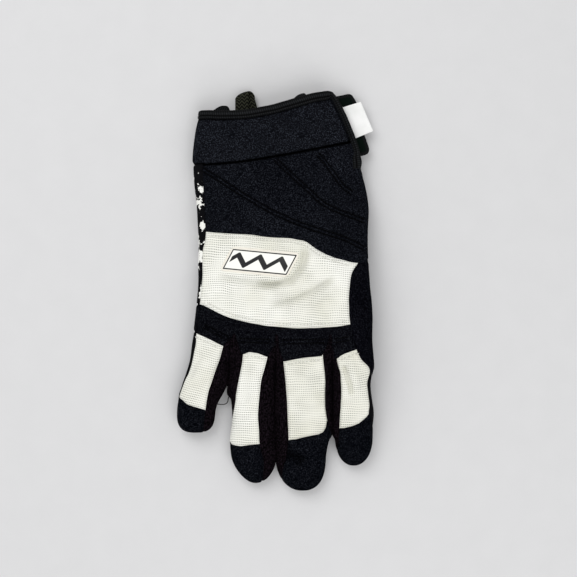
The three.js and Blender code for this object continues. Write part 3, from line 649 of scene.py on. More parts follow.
def waffle_knit(name):
    """Polyester waffle knit: raised ribs in a grid of 1.4 mm rows and 1.2 mm columns, off-white,
    with a grey dimple in each cell. The row ribs stand higher than the column ribs. The rows wander
    by a millimetre or two, and the dimples open where the cloth is stretched."""
    material, tree, place, cloth = start_material(name)
    uneven = add(tree, "TexNoise", {"Vector": cloth, "Scale": 0.05, "Detail": 2.0}, out="Color")
    warp = add(tree, "VectorMath", {0: uneven, "Scale": 4.5}, operation="SCALE")
    moved = add(tree, "VectorMath", {0: cloth, 1: warp}, operation="ADD")
    rows, columns = (
        add(tree, "TexWave", {"Vector": moved, "Scale": WAVE / pitch}, "Fac", bands_direction=way)
        for pitch, way in ((1.4, "Y"), (1.2, "X"))
    )
    # The dimple is deepest where both waves are low
    row_gap = add(tree, "MapRange", {0: rows, 1: 0.0, 2: 0.62, 3: 1.0, 4: 0.0})
    column_gap = add(tree, "MapRange", {0: columns, 1: 0.0, 2: 0.8, 3: 1.0, 4: 0.22})
    stretch = add(tree, "TexNoise", {"Vector": cloth, "Scale": 0.07, "Detail": 1.0})
    opened = add(tree, "MapRange", {0: stretch, 1: 0.35, 2: 0.65, 3: 0.55, 4: 1.1})
    seam = add(tree, "Attribute", out="Fac", attribute_name="seam")
    pit = add(tree, "Math", {0: row_gap, 1: column_gap}, operation="MULTIPLY")
    pit = add(tree, "Math", {0: pit, 1: opened}, operation="MULTIPLY")
    # Painted shade: the seam attribute, in stitch grooves and fold valleys, takes the dimple's grey
    pit = add(tree, "Math", {0: pit, 1: seam}, operation="MAXIMUM")
    raised = add(tree, "Math", {0: 1.0, 1: pit}, operation="SUBTRACT")
    yarn = add(tree, "TexNoise", {"Vector": place, "Scale": 0.7 * PER_MM, "Detail": 2.0})
    fuzz = add(tree, "Math", {0: yarn, 1: 0.25, 2: raised}, operation="MULTIPLY_ADD")
    soiled = add(tree, "TexNoise", {"Vector": place, "Scale": 0.03 * PER_MM, "Detail": 3.0})
    tone = add(tree, "MapRange", {0: soiled, 1: 0.35, 2: 0.75})
    colour = add(tree, "Mix", {0: tone, 6: shade("FFFFF8"), 7: shade("E9E8D9")}, **COLOURS)
    colour = add(tree, "Mix", {0: pit, 6: colour, 7: shade("8F9086")}, **COLOURS)
    finish_material(tree, colour, 0.85, fuzz, 0.22, Specular_IOR_Level=0.25, Sheen_Weight=0.05)
    return material


def ribbed_jersey(name):
    """Stretch jersey with low ribs 1.3 mm apart lengthwise: brown-black, warmer on the crests, and
    flecked by its loose yarn."""
    material, tree, place, cloth = start_material(name)
    wave = {"Vector": cloth, "Scale": WAVE / 1.3, "Distortion": 1.2}
    ribs = add(tree, "TexWave", wave, out="Fac", bands_direction="X")
    low = add(tree, "MapRange", {0: ribs, 3: 0.55, 4: 1.0})
    yarn = add(tree, "TexNoise", {"Vector": place, "Scale": 1.1 * PER_MM, "Detail": 2.0})
    flecks = add(tree, "MapRange", {0: yarn, 1: 0.4, 2: 0.75})
    crest = add(tree, "Math", {0: low, 1: flecks}, operation="MULTIPLY")
    colour = add(tree, "Mix", {0: crest, 6: shade("010101"), 7: shade("251D24")}, **COLOURS)
    finish_material(tree, colour, 0.9, crest, 0.2, Specular_IOR_Level=0.01)
    return material


def printed_suede(name):
    """Microfibre suede of the palm: short even nap, black. A strip along the heel of the hand
    carries a plain white splatter print, its blots 2 to 7 mm across with ragged edges."""
    material, tree, place, _ = start_material(name)
    nap = add(tree, "TexNoise", {"Vector": place, "Scale": 1.4 * PER_MM, "Detail": 2.0})
    blots = {"Vector": place, "Scale": 0.135 * PER_MM, "Detail": 4.0, "Roughness": 0.62}
    share = add(tree, "MapRange", {0: add(tree, "TexNoise", blots), 1: 0.535, 2: 0.547})
    # Three sides of the printed strip, each as where it starts and where it is full, in millimetres
    for axis, none, full in (("X", -22.0, -30.0), ("Y", -8.0, -4.0), ("Y", 73.5, 71.0)):
        along = add(tree, "SeparateXYZ", {0: place}, out=axis)
        inside = add(tree, "MapRange", {0: along, 1: none * MM, 2: full * MM})
        share = add(tree, "Math", {0: share, 1: inside}, operation="MULTIPLY")
    colour = add(tree, "Mix", {0: nap, 6: shade("040406"), 7: shade("0F0F12")}, **COLOURS)
    colour = add(tree, "Mix", {0: share, 6: colour, 7: shade("F6F6F1")}, **COLOURS)
    finish_material(tree, colour, 0.85, nap, 0.12, Specular_IOR_Level=0.05)
    return material


def grosgrain(name, low, high, pitch):
    """Polyester grosgrain tape with cross ribs, a dull sheen on their crests. Where the seam
    attribute holds painted shade, as in the grooves where it is stitched down, the colour is painted
    black. Real ribs are about 0.6 mm apart: the pitch is coarser, so that they show."""
    material, tree, place, cloth = start_material(name)
    wave = {"Vector": cloth, "Scale": WAVE / pitch, "Distortion": 0.3}
    ribs = add(tree, "TexWave", wave, out="Fac", bands_direction="X")
    fray = add(tree, "TexNoise", {"Vector": place, "Scale": 0.8 * PER_MM, "Detail": 2.0})
    crest = add(tree, "Math", {0: ribs, 1: fray}, operation="MULTIPLY")
    seam = add(tree, "Attribute", out="Fac", attribute_name="seam")
    colour = add(tree, "Mix", {0: crest, 6: shade(low), 7: shade(high)}, **COLOURS)
    # Painted shade: black where the seam attribute is 1
    colour = add(tree, "Mix", {0: seam, 6: colour, 7: shade("000000")}, **COLOURS)
    finish_material(tree, colour, 0.75, crest, 0.15, Specular_IOR_Level=0.08)
    return material


def herringbone(name):
    """Nylon webbing in herringbone twill. Its diagonal ribs are drawn 1.4 mm apart and turn every
    1.6 mm, about twice as coarse as real ones, so that they show."""
    material, tree, _, cloth = start_material(name)
    wave = {"Vector": cloth, "Scale": WAVE / 3.2}
    turns = add(tree, "TexWave", wave, out="Fac", bands_direction="X", wave_profile="TRI")
    slant = add(tree, "VectorMath", {0: (0.0, 2.0, 0.0), "Scale": turns}, operation="SCALE")
    moved = add(tree, "VectorMath", {0: cloth, 1: slant}, operation="ADD")
    twill = add(tree, "TexWave", {"Vector": moved, "Scale": WAVE / 2.3}, "Fac", bands_direction="Y")
    crest = add(tree, "MapRange", {0: twill, 1: 0.35, 2: 1.0})
    colour = add(tree, "Mix", {0: crest, 6: shade("010100"), 7: shade("3B3D30")}, **COLOURS)
    finish_material(tree, colour, 0.7, twill, 0.3, Specular_IOR_Level=0.1)
    return material


def hook_tape(name):
    """Hook-and-loop fastener, loop side: a low matted pile, black with a green cast."""
    material, tree, place, _ = start_material(name)
    matted = {"Vector": place, "Scale": 1.3 * PER_MM, "Detail": 3.0, "Distortion": 1.5}
    pile = add(tree, "TexNoise", matted)
    colour = add(tree, "Mix", {0: pile, 6: shade("030504"), 7: shade("101C17")}, **COLOURS)
    finish_material(tree, colour, 0.95, pile, 0.5, Specular_IOR_Level=0.03)
    return material


def satin_label(name):
    """Woven satin label, white: weft lines 0.5 mm apart with a soft lustre, and faint stains."""
    material, tree, place, cloth = start_material(name)
    weft = add(tree, "TexWave", {"Vector": cloth, "Scale": WAVE / 0.507}, "Fac", bands_direction="Y")
    stain = add(tree, "TexNoise", {"Vector": place, "Scale": 0.12 * PER_MM, "Detail": 2.0})
    tone = add(tree, "MapRange", {0: stain, 1: 0.4, 2: 0.8})
    colour = add(tree, "Mix", {0: tone, 6: shade("FDFDFC"), 7: shade("F2F3F1")}, **COLOURS)
    finish_material(tree, colour, 0.5, weft, 0.06, Specular_IOR_Level=0.35)
    return material


def moulded_badge(name):
    """Moulded TPU badge, warm white with a fine matt texture and a heat-pressed cream rim. A thin
    black frame and a plain zigzag are printed inside it. The UV runs 0 to 1 across and along the
    plate."""
    material, tree, place, cloth = start_material(name)
    grain = add(tree, "TexNoise", {"Vector": place, "Scale": 1.5 * PER_MM, "Detail": 2.0})
    # How far inside the plate's edge, in millimetres: half a side less the distance from its middle
    offs, insets = [], []
    for axis, size in (("X", BADGE_LONG), ("Y", BADGE_WIDE)):
        along = add(tree, "SeparateXYZ", {0: cloth}, out=axis)
        off = add(tree, "Math", {0: along, 1: 0.5}, operation="SUBTRACT")
        far = add(tree, "Math", {0: off}, operation="ABSOLUTE")
        insets.append(add(tree, "Math", {0: far, 1: -size, 2: size / 2}, operation="MULTIPLY_ADD"))
        offs.append(off)
    inset = add(tree, "Math", {0: insets[0], 1: insets[1]}, operation="MINIMUM")
    off_line = add(tree, "Math", {0: inset, 1: 1.75}, operation="SUBTRACT")
    off_line = add(tree, "Math", {0: off_line}, operation="ABSOLUTE")
    line = add(tree, "MapRange", {0: off_line, 1: 0.42, 2: 0.34})
    # Zigzag: a triangle wave along the plate, inked between two heights
    along = add(tree, "SeparateXYZ", {0: cloth}, out="X")
    teeth = add(tree, "Math", {0: along, 1: 0.155}, operation="PINGPONG")
    peak = add(tree, "Math", {0: teeth, 1: 2.6, 2: -0.2}, operation="MULTIPLY_ADD")
    over = add(tree, "Math", {0: offs[1], 1: peak}, operation="SUBTRACT")
    over = add(tree, "Math", {0: over}, operation="ABSOLUTE")
    zigzag = add(tree, "MapRange", {0: over, 1: 0.13, 2: 0.115})
    room = add(tree, "MapRange", {0: inset, 1: 3.1, 2: 3.2})
    zigzag = add(tree, "Math", {0: zigzag, 1: room}, operation="MULTIPLY")
    ink = add(tree, "Math", {0: line, 1: zigzag}, operation="MAXIMUM")
    edge = add(tree, "MapRange", {0: inset, 1: 1.5, 2: 1.1})
    colour = add(tree, "Mix", {0: edge, 6: shade("FFFFF8"), 7: shade("F6F1E5")}, **COLOURS)
    colour = add(tree, "Mix", {0: ink, 6: colour, 7: shade("0A0B0E")}, **COLOURS)
    finish_material(tree, colour, 0.42, grain, 0.03, Specular_IOR_Level=0.4)
    return material


def thread(name, low, high):
    """Polyester sewing thread, two plies twisted, with a slight gloss."""
    material, tree, place, _ = start_material(name)
    ply = add(tree, "TexNoise", {"Vector": place, "Scale": 1.6 * PER_MM, "Detail": 1.0})
    colour = add(tree, "Mix", {0: ply, 6: shade(low), 7: shade(high)}, **COLOURS)
    finish_material(tree, colour, 0.7, ply, 0.1, Specular_IOR_Level=0.05)
    return material


def fleece(name):
    """Brushed fleece lining, black, soft pile that scatters light at its ends."""
    material, tree, place, _ = start_material(name)
    pile = add(tree, "TexNoise", {"Vector": place, "Scale": 0.9 * PER_MM, "Detail": 3.0})
    colour = add(tree, "Mix", {0: pile, 6: shade("060609"), 7: shade("16161B")}, **COLOURS)
    finish_material(tree, colour, 0.95, pile, 0.4, Specular_IOR_Level=0.03)
    return material


def seamless_floor(name):
    """Plain paper backdrop: pale, matt, with a barely visible fibre grain."""
    material, tree, place, _ = start_material(name)
    grain = add(tree, "TexNoise", {"Vector": place, "Scale": 0.06 * PER_MM, "Detail": 4.0})
    colour = add(tree, "Mix", {0: grain, 6: shade("DADADB"), 7: shade("DFDFE0")}, **COLOURS)
    finish_material(tree, colour, 0.95, grain, 0.4, Specular_IOR_Level=0.1)
    return material


CUFF_CLOTH = softshell("bonded_softshell_cuff", "090A0E", "393D46")
BACK_CLOTH = softshell("bonded_softshell_back", "05060A", "31343C")
BAND_CLOTH = softshell("bonded_softshell_band", "020205", "2B2D33")
SIDE_CLOTH = softshell("bonded_softshell_side", "010104", "25262D")
CAP_CLOTH = softshell("bonded_softshell_cap", "010205", "2B2D34")
KNIT = waffle_knit("polyester_waffle_knit")
JERSEY = ribbed_jersey("ribbed_stretch_jersey")
SUEDE = printed_suede("microfibre_suede_splatter_print")
TAPE = grosgrain("grosgrain_edge_tape", "040506", "333538", 1.366)
TAB_TAPE = grosgrain("grosgrain_tab_edge", "040506", "1B1E1E", 0.898)
WEBBING = herringbone("nylon_herringbone_webbing")
HOOK = hook_tape("hook_and_loop_pile")
LABEL_CLOTH = satin_label("woven_satin_label")
BADGE_TPU = moulded_badge("moulded_tpu_badge")
DARK_THREAD = thread("polyester_thread_black", "000000", "040406")
PALE_THREAD = thread("polyester_thread_off_white", "F2F2EA", "FFFFFA")
LINING = fleece("brushed_fleece_lining")


# The camera and the studio

# Straight above. At 8 mm over the surface, 0.62 mm make a pixel of a picture 577 wide
CAMERA_PLACE = np.array([7.75, 1.24, 853.0])
LENS, SENSOR = 85, 36
camera = bpy.data.objects.new("camera", bpy.data.cameras.new("camera"))
camera.data.lens, camera.data.sensor_width = LENS, SENSOR
camera.location = CAMERA_PLACE * MM
bpy.context.scene.collection.objects.link(camera)
bpy.context.scene.camera = camera
bpy.context.scene.view_settings.view_transform = "Standard"

world = bpy.data.worlds.new("studio")
world.use_nodes = True
world.node_tree.nodes["Background"].inputs["Color"].default_value = (1.0, 1.0, 1.0, 1.0)
world.node_tree.nodes["Background"].inputs["Strength"].default_value = 0.5
bpy.context.scene.world = world


def softbox(name, place, size, power_):
    """A square area light at a place in metres, turned to the object."""
    data = bpy.data.lights.new(name, "AREA")
    data.size, data.energy = size, power_
    lamp = bpy.data.objects.new(name, data)
    x, y, z = place
    lamp.location = place
    lamp.rotation_euler = (np.arctan2(np.hypot(x, y), z), 0, np.arctan2(y, x) + np.pi / 2)
    bpy.context.scene.collection.objects.link(lamp)


softbox("softbox_key", (-0.45, 0.75, 1.1), 0.9, 8.0)
softbox("softbox_fill", (0.3, -0.85, 1.0), 1.3, 7.6)

floor_mesh = bpy.data.meshes.new("floor")
FLOOR_HALF = 3  # metres
corners = [(x * FLOOR_HALF, y * FLOOR_HALF, 0) for x, y in ((-1, -1), (1, -1), (1, 1), (-1, 1))]
floor_mesh.from_pydata(corners, [], [(0, 1, 2, 3)])
floor_mesh.materials.append(seamless_floor("matt_paper_floor"))
floor = bpy.data.objects.new("floor", floor_mesh)
bpy.context.scene.collection.objects.link(floor)


# The back of the hand

def mouth(x):
    """y of the cuff's mouth over x: along the top, then down the slanted vent."""
    vent = np.interp(x, VENT_EDGE[:, 0], VENT_EDGE[:, 1])
    return np.where(x < VENT_EDGE[0, 0], column(CUFF_TOP, 1, x), vent)


def panel_top(x):
    """y of the upper edge of the back panel and of the palm: the cuff seam, then the vent."""
    return np.minimum(column(CUFF_SEAM, 1, x), mouth(x))


def band_bottom(x):
    """y of the band's lower edge, straight between the corners of its scallops."""
    return np.interp(x, BAND_BOTTOM[:, 0], BAND_BOTTOM[:, 1])


UP = (0, 0, 1)
VENT_SEAM_X = 49.3  # the cuff ends here, where its seam meets the vent

# The three double seams that fan out over the back
BACK_SEAMS = [
    [(-45.3, 74.7), (-33.5, 67.3), (-16.1, 56.1), (-0.6, 47.4), (14.9, 40.6), (27.3, 36.3),
     (42.8, 31.3), (55.0, 25.2)],
    [(-0.6, 80.9), (6.8, 73.5), (14.9, 66.0), (22.9, 58.6), (30.4, 52.4), (42.8, 46.8),
     (54.8, 42.6)],
    [(26.0, 83.4), (31.6, 77.2), (36.6, 69.8), (42.8, 62.3), (45.9, 60.5)],
]
SEAM_HALF = 1.1  # each line of stitches runs this far from the middle of its seam


def double(seams):
    """The two lines of stitches of each seam."""
    return [shifted(flow(seam, 4.0), way) for seam in seams for way in (-SEAM_HALF, SEAM_HALF)]


def pressed(x, y, lines, width, depth):
    """The deepest of the creases along several lines."""
    return np.max([crease(x, y, line, width, depth, 0.02) for line in lines], axis=0)


grid, uv = panel(
    hand, beside(hand, by_height(BACK_LEFT), 1), level(hand, 1), panel_top,
    plan_line(KNUCKLE_TOP), 210, 150,
)
x, y = grid[..., 0], grid[..., 1]
rows = double(BACK_SEAMS)
welts = pressed(x, y, [flow(seam, 4.0) for seam in BACK_SEAMS], width=2.4, depth=0.2)
sewn = pressed(x, y, rows, width=0.55, depth=0.55)
# seam: painted shade in the stitch grooves, and a painted shadow along the top, under the cuff's edge
back = sheet_part(
    grid, uv, UP, relief=ripple(x, y, seed=3, size=0.4) - welts - sewn,
    seam=pressed(x, y, rows, width=0.5, depth=0.95) + np.exp(-(from_border(grid, "t") / 1.5) ** 4),
)
make_piece("back_of_hand_cloth", [back], [BACK_CLOTH, LINING], ["back_panel"])
make_piece(
    "back_seam_thread", [stitches(rows, back, pitch=1.9, length=1.35, radius=0.3)], [DARK_THREAD],
)

# The pale knuckle panel with its soft folds
FOLDS = [
    ([(17.0, 30.0), (17.5, 22.0), (15.5, 14.0), (9.0, 6.0), (-2.0, 3.2), (-14.0, 4.0)], 2.2, -3.0),
    ([(23.5, 26.0), (21.0, 13.5), (12.0, 2.5), (-4.0, -2.0)], 3.4, 1.7),
    ([(38.0, 9.0), (24.0, 0.5), (10.0, -6.0), (-6.0, -10.0)], 2.0, -2.6),
    ([(38.0, 2.0), (22.0, -6.0), (6.0, -11.5)], 2.8, 1.3),
    ([(-38.0, 9.0), (-22.0, 5.6), (-6.0, 3.2), (6.0, 4.2)], 1.8, -2.2),
    ([(-30.0, 0.5), (-14.0, -2.5), (0.0, -4.5)], 3.0, 1.0),
]


def folded(x, y, folds):
    """The folds' relief, and the share 0 to 1 of shade in their valleys."""
    total = sum(crease(x, y, line, width, depth) for line, width, depth in folds)
    return total, np.clip(-total / 2.5, 0, 1)


VALLEY_SHADE = 0.3  # how far the knit darkens in the deepest valley


def knit_uv(uv, points, lean):
    """Rows of the knit that lean with the finger: v is y plus lean times x."""
    return np.stack([uv[..., 0], uv[..., 1] + lean * points[..., 0]], -1)


def pale_panel(name, grid, uv, relief, folds, lines, node):
    """A panel of pale knit with soft folds, and a row of stitches in a shallow groove along each
    line."""
    x, y = grid[..., 0], grid[..., 1]
    fold, valley = folded(x, y, folds)
    # seam: painted shade in the stitch grooves and in the folds' valleys
    part = sheet_part(
        grid, uv, UP, relief=relief + fold - pressed(x, y, lines, width=0.6, depth=0.35),
        seam=np.maximum(pressed(x, y, lines, width=0.45, depth=0.5), VALLEY_SHADE * valley),
    )
    make_piece(f"{name}_knit", [part], [KNIT, LINING], [node])
    thread_part = stitches(lines, part, pitch=2.1, length=1.3, radius=0.2, sink=0.1)
    make_piece(f"{name}_knit_thread", [thread_part], [PALE_THREAD])


grid, uv = panel(
    hand, beside(hand, by_height(KNUCKLE_LEFT), 1), beside(hand, by_height(KNUCKLE_RIGHT), 1),
    plan_line(KNUCKLE_TOP), plan_line(KNUCKLE_BOTTOM), 190, 110,
)
upper_row = shifted(flow([(x, float(column(KNUCKLE_TOP, 1, x))) for x in range(-42, 50, 4)], 4.0), -2.2)
lower_row = shifted(flow([(x, float(column(KNUCKLE_BOTTOM, 1, x))) for x in range(-44, 45, 4)], 4.0), 2.4)
pale_panel(
    "knuckle", grid, knit_uv(uv, grid, 0.05), ripple(grid[..., 0], grid[..., 1], seed=5, size=0.3), FOLDS,
    [upper_row, lower_row], "knuckle_panel",
)

# The band over the knuckles, with a groove between each two fingers
GROOVES = [
    [(-25.6, -44.0), (-25.6, -28.0), (-26.5, -14.0)],
    [(0.4, -48.0), (0.4, -30.0), (-0.5, -16.0)],
    [(33.0, -46.0), (33.0, -28.0), (32.6, -14.0)],
]
BAND_SEAMS = [
    [(-44.0, -22.0), (-38.5, -24.8), (-29.5, -29.6)],
    [(-22.0, -30.6), (-12.0, -30.8), (-4.0, -31.0)],
    [(4.2, -31.4), (16.0, -31.0), (29.5, -30.6)],
    [(36.4, -30.4), (40.0, -29.8), (44.0, -29.0)],
]


GROOVE_DEPTH, GROOVE_WIDTH, GROOVE_START, GROOVE_FULL = 1.6, 1.5, -20.0, -32.0


def band_relief(x, y):
    """Grooves that run up from the forks of the fingers, and soft unevenness."""
    total = ripple(x, y, seed=7, size=0.25)
    for line in GROOVES:
        depth = GROOVE_DEPTH * smoothstep(GROOVE_START, GROOVE_FULL, y)
        off = x - np.interp(y, *np.array(line).T[::-1])
        total = total - depth * np.exp(-(off / GROOVE_WIDTH) ** 2)
    return total


grid, uv = panel(
    hand, level(hand, -1), beside(hand, by_height(BAND_RIGHT), 1), plan_line(KNUCKLE_BOTTOM),
    band_bottom, 260, 44,
)
x, y = grid[..., 0], grid[..., 1]
rows = double(BAND_SEAMS)
# seam: painted shade in the stitch grooves
band = sheet_part(
    grid, uv, UP, relief=band_relief(x, y) - pressed(x, y, rows, width=0.6, depth=0.35),
    seam=pressed(x, y, rows, width=0.5, depth=0.7),
)
make_piece("knuckle_band_cloth", [band], [BAND_CLOTH, LINING], ["knuckle_band"])
band_thread = stitches(rows, band, pitch=1.9, length=1.3, radius=0.28)
make_piece("band_seam_thread", [band_thread], [DARK_THREAD])

# The side panel runs from the hand tube onto the index tube, between these two heights
INDEX_FROM, INDEX_FULL = -16.0, -34.0
index = fingers["index"]
left_table = np.vstack([by_height(KNUCKLE_RIGHT)[:-1], by_height(BAND_RIGHT)])
left_hand, right_hand = beside(hand, left_table, 1), level(hand, 1)
left_index, right_index = beside(index, left_table, 1), level(index, 1)
share = spaced(30)
start = meets(hand, left_hand, right_hand, share, plan_line(KNUCKLE_TOP))
y_start = section(hand, start)[0]
y_rows = y_start + (SIDE_END - y_start) * spaced(110)[:, None]
on_hand, on_index = hand.shoulder - np.maximum(y_rows, hand.tip + 0.4), index.shoulder - y_rows
hand_at = left_hand(on_hand) + (right_hand(on_hand) - left_hand(on_hand)) * share
index_at = left_index(on_index) + (right_index(on_index) - left_index(on_index)) * share
weight = smoothstep(INDEX_FROM, INDEX_FULL, y_rows)[..., None]
grid = (1 - weight) * surface(hand, hand_at, on_hand) + weight * surface(index, index_at, on_index)
grid[..., 1] = y_rows
uv = np.stack([index_at * 20, grid[..., 1]], -1)
side = sheet_part(grid, uv, (1, 0, 0.5), relief=ripple(grid[..., 1], grid[..., 2], seed=9, size=0.2))
make_piece("index_side_cloth", [side], [SIDE_CLOTH, LINING], ["side_panel"])


# The fingers

def cap_line(name):
    """y of the line between a finger's pale back and its dark cap."""
    table = np.array(FINGERS[name]["cap"])
    return lambda x: np.interp(x, table[:, 0], table[:, 1])


def strip_top(x):
    """The side strips start a little under the band."""
    return band_bottom(x) + 1.0


FINGER_FOLDS = {
    "little": [([(-45, -38), (-50, -46), (-54, -55)], 2.2, -1.0)],
    "ring": [([(-16, -44), (-18, -58), (-19, -70)], 2.5, -0.9)],
    "middle": [
        ([(8, -50), (18, -54), (31, -55)], 2.6, -1.1),
        ([(10, -70), (22, -73), (32, -70)], 2.6, -0.9),
    ],
    "index": [
        ([(40.2, -44.5), (42.0, -49.5), (45.0, -57.0), (46.4, -65.0)], 1.5, -2.4),
        ([(44.5, -39.0), (47.0, -48.0), (50.5, -61.0)], 2.4, 1.1),
    ],
}
DIMPLE = [(5.5, -100.0), (12.0, -102.4), (17.5, -106.5)]  # a pinched fold on the middle cap
DIMPLE_WIDTH, DIMPLE_DEPTH, DIMPLE_SHADE = 3.2, 2.2, 0.7
# The row of stitches at the top of a finger's back: in from its two sides, and down from the band
ROW_SIDES, ROW_DOWN, ROW_HEIGHT = (2.6, 2.2), 2.3, -42.0
TIP_SHARE = 0.995  # panels stop just short of a tube's last ring
for number, (name, tube) in enumerate(fingers.items()):
    spec = FINGERS[name]
    table = np.array(spec["back"])
    left, right = beside(tube, table, 1), beside(tube, table, 2)
    grid, uv = panel(tube, left, right, band_bottom, cap_line(name), 60, 110)
    x, y = grid[..., 0], grid[..., 1]
    relief = ripple(x, y, seed=11 + number, size=0.2)
    row_start = column(table, 1, ROW_HEIGHT) + ROW_SIDES[0]
    row_x = np.linspace(row_start, column(table, 2, ROW_HEIGHT) - ROW_SIDES[1], 8)
    row = np.stack([row_x, band_bottom(row_x) - ROW_DOWN], -1)
    pale_panel(
        f"finger_{name}", grid, knit_uv(uv, grid, spec["lean"]), relief, FINGER_FOLDS[name], [row],
        f"finger_back_{name}",
    )
    grid, uv = panel(tube, left, right, cap_line(name), tube.last * TIP_SHARE, 60, 60)
    x, y = grid[..., 0], grid[..., 1]
    relief = ripple(x, y, seed=21 + number, size=0.2)
    pinch = crease(x, y, DIMPLE, DIMPLE_WIDTH, 1.0 if name == "middle" else 0.0)
    cap = sheet_part(
        grid, uv, UP, borders="lrt", relief=relief - DIMPLE_DEPTH * pinch, seam=DIMPLE_SHADE * pinch
    )
    make_piece(f"finger_cap_{name}", [cap], [CAP_CLOTH, LINING], [f"fingertip_{name}"])

# Each web lies under the fork of two fingers, WEB_HALF to both sides of it
WEB_HALF, WEB_TOP = 5.5, -24.0
FORKS = [("little", "ring", -27.6), ("ring", "middle", 0.2), ("middle", "index", 34.2)]
for first, second, fork in FORKS:
    parts = []
    for name, side_ in ((first, 1), (second, -1)):
        tube, table = fingers[name], np.array(FINGERS[name]["back"])
        seam, low = beside(tube, table, 2 if side_ > 0 else 1), level(tube, side_)
        left, right = (seam, low) if side_ > 0 else (low, seam)
        grid, uv = panel(tube, left, right, strip_top, tube.last * TIP_SHARE, 26, 130)
        relief = ripple(grid[..., 0], grid[..., 1], seed=31, size=0.15)
        parts.append(sheet_part(grid, uv, (side_, 0, 0.4), relief=relief))
    rows = np.array([(y_end, fork - WEB_HALF, fork + WEB_HALF) for y_end in (20.0, -50.0)])
    grid, uv = panel(
        hand, beside(hand, rows, 1), beside(hand, rows, 2), lambda x: WEB_TOP + 0 * x, hand.last * 0.99,
        40, 40,
    )
    parts.append(sheet_part(grid, uv, UP, relief=-WEB_DEPTH + 0 * grid[..., 0]))
    make_piece(
        f"side_strips_{first}_{second}", parts, [JERSEY, LINING],
        [f"fourchette_{first}_{second}"],
    )

# A loose loop of thread between the little finger and the ring finger, its two ends under the side
# strips
LOOSE_THREAD = np.array([
    (-37.2, -70.6, 5.0), (-34.6, -71.0, 3.6), (-31.9, -70.9, 3.0), (-30.2, -69.4, 3.4),
    (-29.6, -66.6, 4.6), (-28.0, -65.4, 6.0),
])
THREAD_RADIUS = 0.28
ring = np.linspace(0, 2 * np.pi, 8, endpoint=False)
rows = np.arange(len(LOOSE_THREAD), dtype=float)
at = np.linspace(0, rows[-1], 50)
path = np.stack([column(np.column_stack([rows, LOOSE_THREAD]), k, at) for k in (1, 2, 3)], -1)
sideways = np.cross(np.gradient(path, axis=0), UP)
sideways /= np.linalg.norm(sideways, axis=1, keepdims=True)
grid = path[:, None] + THREAD_RADIUS * (
    sideways[:, None] * np.cos(ring)[None, :, None] + np.array(UP) * np.sin(ring)[None, :, None]
)
make_piece("loose_thread", [round_part(grid)], [DARK_THREAD])


# The palm and the thumb

PALM_CENTRE = 4.0
PALM_END = -41.0  # the palm ends under the fingers' own undersides, which start at these heights
UNDER_START = {"little": -24.6, "ring": -38.0, "middle": -38.0, "index": -38.0}
UNDER_CLOSE = 0.36  # the undersides run on until the dome has closed to this share
UNDER_LAP = 2  # half sections from the left side, round the underside, to the right


def palm_left(run):
    """The palm cloth comes up over the heel of the hand as far as the back and knuckle panels."""
    line = beside(hand, np.vstack([by_height(BACK_LEFT)[:-1], by_height(KNUCKLE_LEFT)]), 1)
    return np.where(section(hand, run)[0] > -8.6, line(run), level(hand, -1)(run))


grid, uv = panel(
    hand, palm_left, lambda run: level(hand, 1)(run) - UNDER_LAP, panel_top,
    lambda x: PALM_END + 0 * x, 150, 120,
)
x, y = grid[..., 0], grid[..., 1]
away = grid - np.stack([0 * y + PALM_CENTRE, y, middle(PALM_CENTRE, y)], -1)
parts = [sheet_part(grid, uv, away, relief=ripple(x, y, seed=41, size=0.2))]
for name, tube in fingers.items():
    table = np.array(FINGERS[name]["back"])
    left = beside(tube, table, 1) if name == "little" else level(tube, -1)
    right = beside(tube, table, 2) if name == "index" else level(tube, 1)
    end = np.interp(-UNDER_CLOSE, -tube.close, tube.run)
    grid, uv = panel(
        tube, left, (lambda run, right=right: right(run) - UNDER_LAP),
        (lambda x, start=UNDER_START[name]: start + 0 * x), end, 44, 80,
    )
    below = np.zeros_like(grid)
    below[..., 2] = -1
    parts.append(sheet_part(grid, uv, below, relief=-0.2 + 0 * grid[..., 0]))
make_piece("palm_suede", parts, [SUEDE, LINING], ["palm"])

share = np.linspace(-1, 1, 60, endpoint=False)
start = thumb.shoulder - THUMB[0, 0]
run = start + (thumb.last * TIP_SHARE - start) * spaced(120)
grid = surface(thumb, share[None] + 0 * run[:, None], run[:, None] + 0 * share)
make_piece("thumb_suede", [round_part(grid)], [SUEDE], ["thumb"])


# The cuff, its edge tape and what is sewn into it
TAPE_WIDE, TAPE_SLIM = 5.3, 3.7  # the tape's width along the mouth and along the vent
CUFF_CENTRE = 2.0


def cuff_end(run):
    """The cuff's last column on the top layer, at the foot of the vent."""
    return beside(hand, np.array([(y_end, VENT_SEAM_X) for y_end in (140.0, 60.0)]), 1)(run)


grid, uv = panel(
    hand, lambda run: -1 - cuff_end(run), cuff_end, mouth, lambda x: column(CUFF_SEAM, 1, x), 360, 80
)
x, y = grid[..., 0], grid[..., 1]
# Upper and lower layer face away from the middle, and sideways hardly at all
away = (grid - np.stack([0 * y + CUFF_CENTRE, y, middle(CUFF_CENTRE, y)], -1)) * (0.03, 1, 1)
# The cloth dips along the inner edge of the tape, on the upper layer
tape_edges = [
    shifted(flow(CUFF_TOP, 3.0), -TAPE_WIDE - 0.2), shifted(flow(VENT_EDGE[:-1], 3.0), -TAPE_SLIM - 0.2)
]
dip = pressed(x, y, tape_edges, width=0.8, depth=1.0) * (grid[..., 2] > middle(x, y))
# seam: painted shade in the dip beside the tape, and a painted shadow line along the lower edge, where the
# cuff lies over the back panel
cuff = sheet_part(
    grid, uv, away, borders="b", relief=CUFF_PROUD + ripple(x, y, seed=51, size=0.3) - 0.6 * dip,
    seam=0.8 * dip + 0.9 * np.exp(-(from_border(grid, "b") / 0.6) ** 2),
)
make_piece("cuff_cloth", [cuff], [CUFF_CLOTH, LINING], ["wrist_cuff"])

